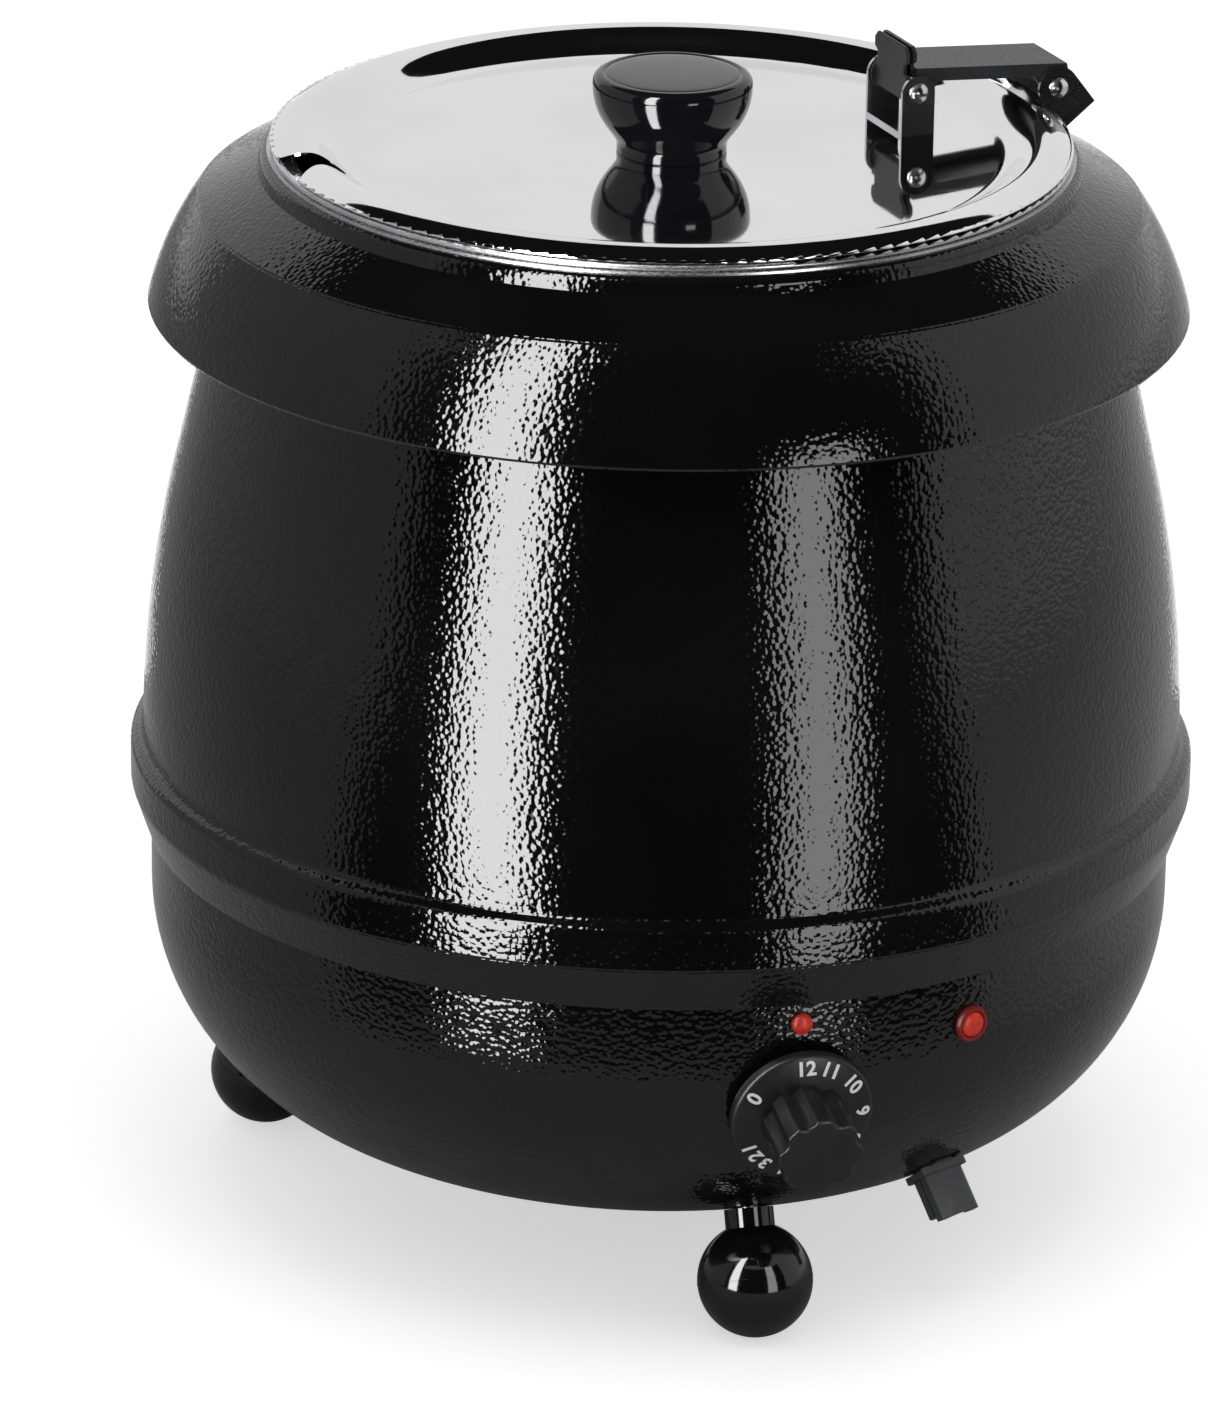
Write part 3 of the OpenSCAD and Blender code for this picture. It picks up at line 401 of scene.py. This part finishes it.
def inner_finish(name, colour, metallic, roughness, cell):
    """A finish for the pieces inside the bowl, marked in patches about one cell wide."""
    made = Finish(name, colour, metallic=metallic, roughness=roughness)
    marks = made.noise(cell * MM, detail=3.0)
    made.tint(marks, scaled(colour, 0.82), scaled(colour, 1.15))
    made.bump(marks, 0.02 * MM)
    return made.rough(marks, roughness * 0.8, roughness * 1.25).material


# Colour, metallic, roughness and the width of a mark in millimetres
INNER_FINISHES = {
    "nylon": ((0.72, 0.70, 0.64), 0.0, 0.45, 2.0),
    "cream_plastic": ((0.60, 0.55, 0.46), 0.0, 0.5, 3.0),
    "copper_tube": ((0.70, 0.36, 0.20), 1.0, 0.3, 2.0),
    "turned_brass": ((0.72, 0.55, 0.26), 1.0, 0.25, 1.5),
    "heated_sheath": ((0.20, 0.18, 0.17), 1.0, 0.42, 4.0),
    "galvanised_sheet": ((0.50, 0.52, 0.54), 1.0, 0.4, 9.0),
}


# ---- dressing a node ----------------------------------------------------------------------


MADE = {}


def shared(make):
    """A finish that several operators use, made the first time it is wanted."""
    if make not in MADE:
        MADE[make] = make()
    return MADE[make]


def frame_finish(slot):
    """The plain finish that the frame itself brings for one of the record's slots."""
    return bpy.data.materials[slot]


def dress(node, material):
    """Puts a material on a node of the frame."""
    slots = NODES[node].data.materials
    slots.clear()
    slots.append(material)


def soften(node, radius):
    """Rounds a node's sharp edges with a bevel."""
    bevel = NODES[node].modifiers.new("edge_round", "BEVEL")
    bevel.width = radius
    bevel.segments = 3
    bevel.limit_method = "ANGLE"
    bevel.angle_limit = math.radians(35)


def even_shading(node):
    """Blends a node's shading across the strips of its curved walls, but not round its corners."""
    seams = NODES[node].modifiers.new("closed_seams", "WELD")
    seams.merge_threshold = 1e-6
    edges = NODES[node].modifiers.new("crisp_edges", "EDGE_SPLIT")
    edges.split_angle = math.radians(62)
    edges.use_edge_sharp = False
    blend = NODES[node].modifiers.new("even_shading", "WEIGHTED_NORMAL")
    blend.weight = 50
    blend.keep_sharp = False


def mesh_piece(name, made, material, body):
    """An object from a finished bmesh, riding on a body."""
    data = bpy.data.meshes.new(name)
    made.to_mesh(data)
    made.free()
    data.materials.append(material)
    piece = bpy.data.objects.new(name, data)
    bpy.context.scene.collection.objects.link(piece)
    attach(piece, body)
    return piece


def smooth(piece, angle=40.0):
    """Shades a piece smooth apart from its sharp edges."""
    for face in piece.data.polygons:
        face.use_smooth = True
    piece.data.set_sharp_from_angle(angle=math.radians(angle))


def curve_points(start, leave, arrive, end, steps=16):
    """Points (radius, height) along a curve with the given handles."""
    corners = [Vector((*point, 0)) for point in (start, leave, arrive, end)]
    return [tuple(point[:2]) for point in interpolate_bezier(*corners, steps)]


def lathe(name, outline, material, body, place, steps=160):
    """Turns a closed outline of (radius, height) points about the local Z axis."""
    made = bmesh.new()
    turns = [2 * math.pi * i / steps for i in range(steps)]
    rings = []
    for radius, height in outline:
        if radius < 1e-7:
            rings.append([made.verts.new((0, 0, height))] * steps)
        else:
            rings.append([made.verts.new((radius * math.cos(a), radius * math.sin(a), height))
                          for a in turns])
    for low, high in zip(rings, rings[1:] + rings[:1]):
        for i in range(steps):
            j = (i + 1) % steps
            corners = list(dict.fromkeys((low[i], low[j], high[j], high[i])))
            if len(corners) > 2:
                made.faces.new(corners)
    bmesh.ops.recalc_face_normals(made, faces=made.faces)
    made.transform(place)
    piece = mesh_piece(name, made, material, body)
    smooth(piece)
    return piece


# ---- operators ----------------------------------------------------------------------------


class KETTLE_OT_shells(bpy.types.Operator):
    """Paint the collar, the barrel and the bowl"""

    bl_idname = "kettle.shells"
    bl_label = "Shells"

    def execute(self, context):
        paint = hammered_paint()
        for node in ("collar", "upper_shell", "lower_bowl"):
            dress(node, paint)
        return {"FINISHED"}


class KETTLE_OT_pot(bpy.types.Operator):
    """Finish the soup pot and the water well"""

    bl_idname = "kettle.pot"
    bl_label = "Pot and well"

    def execute(self, context):
        steel = pot_steel()
        for node in ("inner_pot", "water_well"):
            dress(node, steel)
        return {"FINISHED"}


class KETTLE_OT_lid(bpy.types.Operator):
    """Polish the lid and dress its knob"""

    bl_idname = "kettle.lid"
    bl_label = "Lid and knob"

    def execute(self, context):
        dress("lid", mirror_steel())
        even_shading("lid")
        plastic = shared(gloss_plastic)
        dress("lid_knob", plastic)
        self.turned_knob(plastic)
        return {"FINISHED"}

    def turned_knob(self, plastic):
        """The knob with its full head, which swells out of a plain foot."""
        head, rise = box_max("lid_knob").x, box_max("lid_knob").z - box_min("lid_knob").z
        seat = box_min("lid_knob").z
        foot, bore = 17.8 * MM, box_max("knob_screw").x / 2
        bore_top = box_max("knob_screw").z - seat + 0.5 * MM
        rim, shoulder = rise - 0.5 * MM, rise - 4.4 * MM
        swell = curve_points((foot, 2.6 * MM), (foot, 6.5 * MM), (head - 0.1 * MM, 10 * MM),
                             (head, shoulder))
        edge = curve_points((head, shoulder), (head, rise - 1.8 * MM),
                            (head - 1.2 * MM, rim), (head - 3.5 * MM, rim), 8)
        crown = curve_points((head - 4.6 * MM, rim - 0.1 * MM), (head - 9 * MM, rise - 0.15 * MM),
                             (head / 3, rise), (0, rise), 10)
        outline = [(bore, 0), (foot - 0.5 * MM, 0), (foot, 0.5 * MM), *swell, *edge[1:],
                   (head - 4.1 * MM, rim - 0.35 * MM), *crown, (0, bore_top), (bore, bore_top)]
        knob = lathe("knob", outline, plastic, "lid",
                     Matrix.Translation((0, 0, seat)))
        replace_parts(knob, "lid_knob")


class KETTLE_OT_hinge(bpy.types.Operator):
    """Finish the hinge's plates and pins"""

    bl_idname = "kettle.hinge"
    bl_label = "Hinge"

    def execute(self, context):
        steel, plated = hinge_steel(), plated_steel()
        dress("hinge_arm", arm_paint())
        for node in ("lid_bracket", "rim_clip"):
            dress(node, steel)
        for node in ("front_pin", "rear_pin", "clip_rivets", "knob_screw"):
            dress(node, plated)
        for node in ("hinge_arm", "lid_bracket", "rim_clip"):
            soften(node, sizes().edge_round)
        self.stop_apron(frame_finish("arm_paint"))
        return {"FINISHED"}

    def stop_apron(self, paint):
        """The stop plate's apron, which hangs between the bracket's cheeks and covers the pin."""
        pivot = Vector(JOINTS["lid_tilt"]["pos_m"])
        along = Vector(JOINTS["lid_tilt"]["axis"]).normalized()
        outwards = along.cross(Vector((0, 0, 1)))
        half, notch, thick, clear = 12.2 * MM, 2.2 * MM, 1.2 * MM, 2.7 * MM
        top = box_max("hinge_arm").z - pivot.z
        side = [(half, -3.2 * MM), (half, 5.7 * MM), (half - notch, 5.7 * MM),
                (half - notch, 8.4 * MM), (half, 9.8 * MM), (half, top - 2 * MM),
                (half - 2 * MM, top)]
        outline = side + [(-across, height) for across, height in reversed(side)]
        made = bmesh.new()
        near, far = (
            [made.verts.new(pivot - outwards * depth + along * across + Vector((0, 0, height)))
             for across, height in outline]
            for depth in (clear, clear + thick)
        )
        made.faces.new(near)
        made.faces.new(far)
        for i, corner in enumerate(near):
            j = (i + 1) % len(near)
            made.faces.new((corner, near[j], far[j], far[i]))
        bmesh.ops.recalc_face_normals(made, faces=made.faces)
        bmesh.ops.bevel(made, geom=made.edges[:], offset=sizes().edge_round, segments=2,
                        affect="EDGES")
        smooth(mesh_piece("stop_apron", made, paint, "arm"))


# Angles of the dial's numbers, anticlockwise from the right, seen from the front
NUMBER_ANGLES = {
    0: 150, 1: 209, 2: 221, 3: 234, 4: 255, 5: 276, 6: 297,
    7: 315, 8: 333, 9: 3, 10: 38, 11: 67, 12: 92,
}


class KETTLE_OT_dial(bpy.types.Operator):
    """Dress the dial and print its numbers"""

    bl_idname = "kettle.dial"
    bl_label = "Dial"

    def execute(self, context):
        plastic = shared(dial_plastic)
        dress("dial", plastic)
        dress("thermostat_spindle", frame_finish("plated_steel"))
        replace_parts(self.flange(plastic), "dial")
        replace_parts(self.grip(plastic), "dial")
        made = bmesh.new()
        for number, angle in NUMBER_ANGLES.items():
            self.print_number(made, number, math.radians(angle))
        mesh_piece("dial_numbers", made, number_print(), "dial")
        return {"FINISHED"}

    def flange(self, plastic):
        """The dial's round skirt with its sloping face for the numbers."""
        # Insets from the rim and heights, in millimetres
        from_rim = [(21.2, 3.6), (2.4, 3.6), (2.4, 1.4), (0.6, 1.4), (0, 2), (0, 4.3),
                    (0.3, 4.9), (0.8, 5.4), (1.4, 5.6), (7.8, 7.4), (21.2, 7.4)]
        outline = [(DIAL_R - inset * MM, height * MM) for inset, height in from_rim]
        return lathe("dial_flange", outline, plastic, "dial",
                     on_bowl(0.0, DIAL_DROP))

    def grip(self, plastic):
        """The fluted grip, its end scalloped like its sides."""
        flute_at, flute_r = GRIP_R + 2.6 * MM, 4.2 * MM
        steps, pitch = 192, 2 * math.pi / GRIP_FLUTES

        def reach(turn):
            """Radius of the fluted outline at an angle."""
            off = (turn + pitch / 2) % pitch - pitch / 2
            under = flute_r ** 2 - (flute_at * math.sin(off)) ** 2
            cut = flute_at * math.cos(off) - math.sqrt(under) if under > 0 else GRIP_R
            return min(GRIP_R, cut)

        made = bmesh.new()
        turns = [2 * math.pi * i / steps for i in range(steps)]
        # Drops below the grip's end and insets from its flutes, in millimetres
        below_end = ((20.3, 0.0), (0.9, 0.0), (0.4, 0.15), (0.1, 0.5), (0.0, 1.0), (0.1, 5.0))
        rings = [[made.verts.new(((reach(a) - inset * MM) * math.cos(a),
                                  (reach(a) - inset * MM) * math.sin(a), GRIP_END - drop * MM))
                  for a in turns] for drop, inset in below_end]
        for low, high in zip(rings, rings[1:]):
            for i in range(steps):
                made.faces.new((low[i], low[(i + 1) % steps], high[(i + 1) % steps], high[i]))
        made.faces.new(rings[0])
        made.faces.new(rings[-1])
        bmesh.ops.recalc_face_normals(made, faces=made.faces)
        made.transform(on_bowl(0.0, DIAL_DROP) @ Matrix.Rotation(pitch / 2, 4, "Z"))
        piece = mesh_piece("dial_grip", made, plastic, "dial")
        smooth(piece, 50)
        return piece

    def print_number(self, made, number, angle):
        """Adds one number to the mesh, standing upright along the dial's radius."""
        size_per_height, half_thick, boldness = 1.36, 0.04 * MM, 0.2 * MM
        curve = bpy.data.curves.new("number", "FONT")
        curve.body = str(number)
        curve.size = sizes().number_height * size_per_height
        curve.align_x = "CENTER"
        curve.align_y = "CENTER"
        curve.extrude = half_thick
        curve.offset = boldness
        curve.resolution_u = 4
        source = bpy.data.objects.new("number", curve)
        context = bpy.context
        context.scene.collection.objects.link(source)
        context.view_layer.update()
        shown = source.evaluated_get(context.evaluated_depsgraph_get())
        data = bpy.data.meshes.new_from_object(shown)
        place = (
            on_bowl(0.0, DIAL_DROP)
            @ Matrix.Rotation(angle - math.radians(90), 4, "Z")
            @ Matrix.Translation((0, sizes().number_radius, PRINT_LEVEL))
            @ Matrix.Rotation(-FACE_FALL, 4, "X")
        )
        data.transform(place)
        made.from_mesh(data)
        bpy.data.objects.remove(source)
        bpy.data.curves.remove(curve)
        bpy.data.meshes.remove(data)


class KETTLE_OT_lamps(bpy.types.Operator):
    """Colour the two indicator lamps"""

    bl_idname = "kettle.lamps"
    bl_label = "Lamps"

    def execute(self, context):
        lens = lamp_lens()
        dress("power_lamp", lens)
        dress("heat_lamp_lens", lens)
        dress("heat_lamp_bezel", lamp_ring())
        return {"FINISHED"}


class KETTLE_OT_gland(bpy.types.Operator):
    """Dress the cord gland"""

    bl_idname = "kettle.gland"
    bl_label = "Cord gland"

    def execute(self, context):
        plastic = gland_plastic()
        for node in ("gland_body", "gland_clamp", "gland_nut"):
            dress(node, plastic)
        for node in ("gland_body", "gland_clamp"):
            soften(node, sizes().edge_round)
        return {"FINISHED"}


class KETTLE_OT_feet(bpy.types.Operator):
    """Dress the ball feet and add their mould lines"""

    bl_idname = "kettle.feet"
    bl_label = "Feet"

    def execute(self, context):
        plastic = shared(gloss_plastic)
        for node, turn in FOOT_TURNS.items():
            dress(node, plastic)
            self.mould_line(node, turn, plastic)
        return {"FINISHED"}

    def mould_line(self, node, turn, plastic):
        """Adds the thin flash left where the two mould halves met."""
        flash = 0.3 * MM
        proud = FOOT_R + flash * 0.4
        outline = [(FOOT_R - flash, -flash), (proud, -flash / 2), (proud, flash / 2),
                   (FOOT_R - flash, flash)]
        place = on_bowl(turn, FOOT_DROP, FOOT_NECK + FOOT_R)
        lathe(node + "_mould_line", outline, plastic, "kettle", place, 96)


class KETTLE_OT_inside(bpy.types.Operator):
    """Finish the pieces inside the bowl"""

    bl_idname = "kettle.inside"
    bl_label = "Inside"

    def execute(self, context):
        made = {name: inner_finish(name, *values) for name, values in INNER_FINISHES.items()}
        wanted = {
            "nylon": ("power_lamp_nut", "heat_lamp_nut", "terminal_block"),
            "cream_plastic": ("thermostat_body",),
            "copper_tube": ("thermostat_bulb",),
            "turned_brass": ("terminal_screws", "earth_stud"),
            "heated_sheath": ("heating_element",),
            "galvanised_sheet": ("thermostat_bracket", "bulb_clips", "element_saddles",
                                 "heat_shield", "terminal_bracket"),
        }
        for name, nodes in wanted.items():
            for node in nodes:
                dress(node, made[name])
        for node in ("thermostat_screws", "foot_studs", "foot_washers", "foot_nuts",
                     "tie_rods", "tie_nuts"):
            dress(node, frame_finish("plated_steel"))
        dress("thermal_cutout", shared(dial_plastic))
        return {"FINISHED"}


# ---- stage --------------------------------------------------------------------------------

FLOOR_HALF = 8.0
WORLD_LIGHT = 0.6
BLACK_CLOTH = 0.004
CEILING_CLOTH = 0.01
# A lamp aims level at the kettle's axis, or at this height where it hangs higher
AIM_TOP = 0.8
# Where the camera looks from its stand: a hair to the left, ahead and down
LINE_OF_SIGHT = (-0.00693, 0.93267, -0.36068)


def seen_by_eye(nodes, links):
    """1 on camera, glossy and transmission rays, 0 on the rays that only carry light."""
    path = nodes.new("ShaderNodeLightPath")
    total = path.outputs["Is Camera Ray"]
    for name in ("Is Glossy Ray", "Is Transmission Ray"):
        either = nodes.new("ShaderNodeMath")
        either.operation = "MAXIMUM"
        links.new(total, either.inputs[0])
        links.new(path.outputs[name], either.inputs[1])
        total = either.outputs[0]
    return total


class KETTLE_OT_stage(bpy.types.Operator):
    """Set the floor, the lights and the camera"""

    bl_idname = "kettle.stage"
    bl_label = "Stage"

    def execute(self, context):
        self.floor()
        self.world(context.scene)
        self.lights()
        self.front_cloth()
        self.side_cloths()
        self.ceiling_cloth()
        self.camera(context.scene)
        context.scene.view_settings.view_transform = "Standard"
        return {"FINISHED"}

    def floor(self):
        """A pale floor, white where the camera or a reflection sees it lit, with its shadows."""
        made = bmesh.new()
        bmesh.ops.create_grid(made, x_segments=2, y_segments=2, size=FLOOR_HALF)
        data = bpy.data.meshes.new("floor")
        made.to_mesh(data)
        made.free()
        paper = Finish("floor_paper", colours().floor, roughness=0.9, specular=0.0)
        paper.tint(paper.noise(0.4), scaled(colours().floor, 0.99), scaled(colours().floor, 1.01))
        nodes, links = paper.nodes, paper.links
        lit = nodes.new("ShaderNodeEmission")
        lit.inputs["Strength"].default_value = sizes().floor_glow
        total = nodes.new("ShaderNodeAddShader")
        seen = nodes.new("ShaderNodeMixShader")
        links.new(paper.shader.outputs["BSDF"], total.inputs[0])
        links.new(lit.outputs["Emission"], total.inputs[1])
        links.new(seen_by_eye(nodes, links), seen.inputs["Fac"])
        links.new(paper.shader.outputs["BSDF"], seen.inputs[1])
        links.new(total.outputs["Shader"], seen.inputs[2])
        links.new(seen.outputs["Shader"], nodes["Material Output"].inputs["Surface"])
        data.materials.append(paper.material)
        floor = bpy.data.objects.new("floor", data)
        bpy.context.scene.collection.objects.link(floor)

    def world(self, scene):
        """Plain light all round, white where the camera or a reflection sees it."""
        world = bpy.data.worlds.new("studio")
        scene.world = world
        world.use_nodes = True
        nodes, links = world.node_tree.nodes, world.node_tree.links
        soft = nodes["Background"]
        soft.inputs["Color"].default_value = (1, 1, 1, 1)
        soft.inputs["Strength"].default_value = WORLD_LIGHT
        white = nodes.new("ShaderNodeBackground")
        white.inputs["Strength"].default_value = 1.0
        mix = nodes.new("ShaderNodeMixShader")
        links.new(seen_by_eye(nodes, links), mix.inputs["Fac"])
        links.new(soft.outputs[0], mix.inputs[1])
        links.new(white.outputs[0], mix.inputs[2])
        links.new(mix.outputs[0], nodes["World Output"].inputs["Surface"])

    def lights(self):
        """Two strips that only shine on gloss, and a broad soft light that lights everything."""
        self.area("strip_left", turn=-46, distance=0.48, height=0.6, width=0.125, tall=1.2,
                  power=9.0, shine_only=True)
        self.area("strip_right", turn=13, distance=0.48, height=0.19, width=0.11, tall=0.38,
                  power=0.64, shine_only=True)
        self.area("overhead", turn=-15, distance=0.6, height=2.4, width=1.6, tall=1.6,
                  power=14, shine_only=False)

    def area(self, name, turn, distance, height, width, tall, power, shine_only):
        """An area light at a turn in degrees round the kettle, aimed level or down at its axis."""
        data = bpy.data.lights.new(name, "AREA")
        data.shape = "RECTANGLE"
        data.size = width
        data.size_y = tall
        data.energy = power
        lamp = bpy.data.objects.new(name, data)
        turn = math.radians(turn)
        lamp.location = (math.sin(turn) * distance, -math.cos(turn) * distance, height)
        aim = Vector((0, 0, min(height, AIM_TOP))) - lamp.location
        lamp.rotation_euler = aim.to_track_quat("-Z", "Y").to_euler()
        lamp.visible_diffuse = not shine_only
        bpy.context.scene.collection.objects.link(lamp)

    def cloth(self, name, rows, grey):
        """A sheet of plain cloth through rows of points, which only reflections see."""
        weave = Finish(name, (grey, grey, grey), roughness=1.0, specular=0.0)
        weave.tint(weave.noise(0.02), (grey * 0.9,) * 3, (grey * 1.1,) * 3)
        made = bmesh.new()
        grid = [[made.verts.new(point) for point in row] for row in rows]
        for low, high in zip(grid, grid[1:]):
            for i in range(len(low) - 1):
                made.faces.new((low[i], low[i + 1], high[i + 1], high[i]))
        data = bpy.data.meshes.new(name)
        made.to_mesh(data)
        made.free()
        data.materials.append(weave.material)
        sheet = bpy.data.objects.new(name, data)
        bpy.context.scene.collection.objects.link(sheet)
        sheet.visible_camera = False
        sheet.visible_diffuse = False
        sheet.visible_shadow = False

    def front_cloth(self):
        """A black cloth on the floor before the kettle and up behind the camera."""
        half, steps = math.radians(62), 48
        turns = [sizes().camera_turn + half * (2 * i / steps - 1) for i in range(steps + 1)]
        profile = ((0.42, 0.004), (4.0, 0.004), (4.2, 0.2), (4.2, 4.0))
        rows = [[(math.sin(a) * radius, -math.cos(a) * radius, height) for a in turns]
                for radius, height in profile]
        self.cloth("black_cloth", rows, BLACK_CLOTH)

    def side_cloths(self):
        """Grey cloths on the floor, at both sides and under the kettle, and a grey wall."""
        turn = Matrix.Rotation(sizes().camera_turn, 4, "Z")
        near, far, level = 0.36, 4.0, 0.003
        for name, side, grey in (("grey_cloth_left", -1, 0.42), ("grey_cloth_right", 1, 0.72)):
            rows = [[turn @ Vector((side * across, slant * across, level))
                     for across in (near, far)] for slant in (-0.56, 0.0)]
            rows.append([turn @ Vector((side * across, far, level)) for across in (near, far)])
            self.cloth(name, rows, grey)
        half, level = 0.45, 0.002
        rows = [[turn @ Vector((across, along, level)) for across in (-half, half)]
                for along in (-half, half)]
        self.cloth("grey_cloth_near", rows, 0.5)
        left, ends, heights = -1.6, (-1.0, 1.3), (0.0, 2.2)
        rows = [[turn @ Vector((left, along, height)) for along in ends] for height in heights]
        self.cloth("grey_wall_left", rows, 0.6)

    def ceiling_cloth(self):
        """A black cloth overhead, small enough to leave the sky white near the horizon."""
        turn = Matrix.Rotation(sizes().camera_turn, 4, "Z")
        half, ends, height = 0.6, (-0.9, 0.58), 1.0
        rows = [[turn @ Vector((across, along, height)) for across in (-half, half)]
                for along in ends]
        self.cloth("ceiling_cloth", rows, CEILING_CLOTH)

    def camera(self, scene):
        """The camera, which looks down on the kettle from its front left."""
        s = sizes()
        data = bpy.data.cameras.new("camera")
        data.sensor_width = 36.0
        data.lens = s.lens
        data.clip_start = 0.1
        data.clip_end = 60
        camera = bpy.data.objects.new("camera", data)
        stand = Matrix.Rotation(s.camera_turn, 4, "Z")
        ahead = stand.to_3x3() @ Vector(LINE_OF_SIGHT)
        right = ahead.cross(Vector((0, 0, 1))).normalized()
        up = right.cross(ahead)
        roll = s.camera_roll
        across = math.cos(roll) * right + math.sin(roll) * up
        upright = -math.sin(roll) * right + math.cos(roll) * up
        turned = Matrix((across, upright, -ahead)).transposed()
        place = stand @ Vector((0, -s.camera_distance, s.camera_height))
        camera.matrix_world = Matrix.Translation(place) @ turned.to_4x4()
        scene.collection.objects.link(camera)
        scene.camera = camera


# ---- panel and registration ---------------------------------------------------------------


class KETTLE_PT_panel(bpy.types.Panel):
    """Lists the kettle's pieces"""

    bl_label = "Soup kettle"
    bl_idname = "KETTLE_PT_panel"
    bl_space_type = "VIEW_3D"
    bl_region_type = "UI"
    bl_category = "Soup kettle"

    def draw(self, context):
        for piece in PIECES:
            self.layout.operator(piece.bl_idname)


PIECES = (
    KETTLE_OT_stage,
    KETTLE_OT_shells,
    KETTLE_OT_pot,
    KETTLE_OT_lid,
    KETTLE_OT_hinge,
    KETTLE_OT_dial,
    KETTLE_OT_lamps,
    KETTLE_OT_gland,
    KETTLE_OT_feet,
    KETTLE_OT_inside,
)
CLASSES = (KettleSizes, KettleColours, *PIECES, KETTLE_PT_panel)


def register():
    """Registers the classes and hangs the properties on the scene."""
    for item in CLASSES:
        bpy.utils.register_class(item)
    bpy.types.Scene.kettle_sizes = bpy.props.PointerProperty(type=KettleSizes)
    bpy.types.Scene.kettle_colours = bpy.props.PointerProperty(type=KettleColours)


def unregister():
    """Takes the properties and the classes away again."""
    del bpy.types.Scene.kettle_colours
    del bpy.types.Scene.kettle_sizes
    for item in reversed(CLASSES):
        bpy.utils.unregister_class(item)


def main():
    """Builds every piece in order."""
    register()
    bpy.ops.kettle.stage()
    bpy.ops.kettle.shells()
    bpy.ops.kettle.pot()
    bpy.ops.kettle.lid()
    bpy.ops.kettle.hinge()
    bpy.ops.kettle.dial()
    bpy.ops.kettle.lamps()
    bpy.ops.kettle.gland()
    bpy.ops.kettle.feet()
    bpy.ops.kettle.inside()


if __name__ == "__main__":
    main()
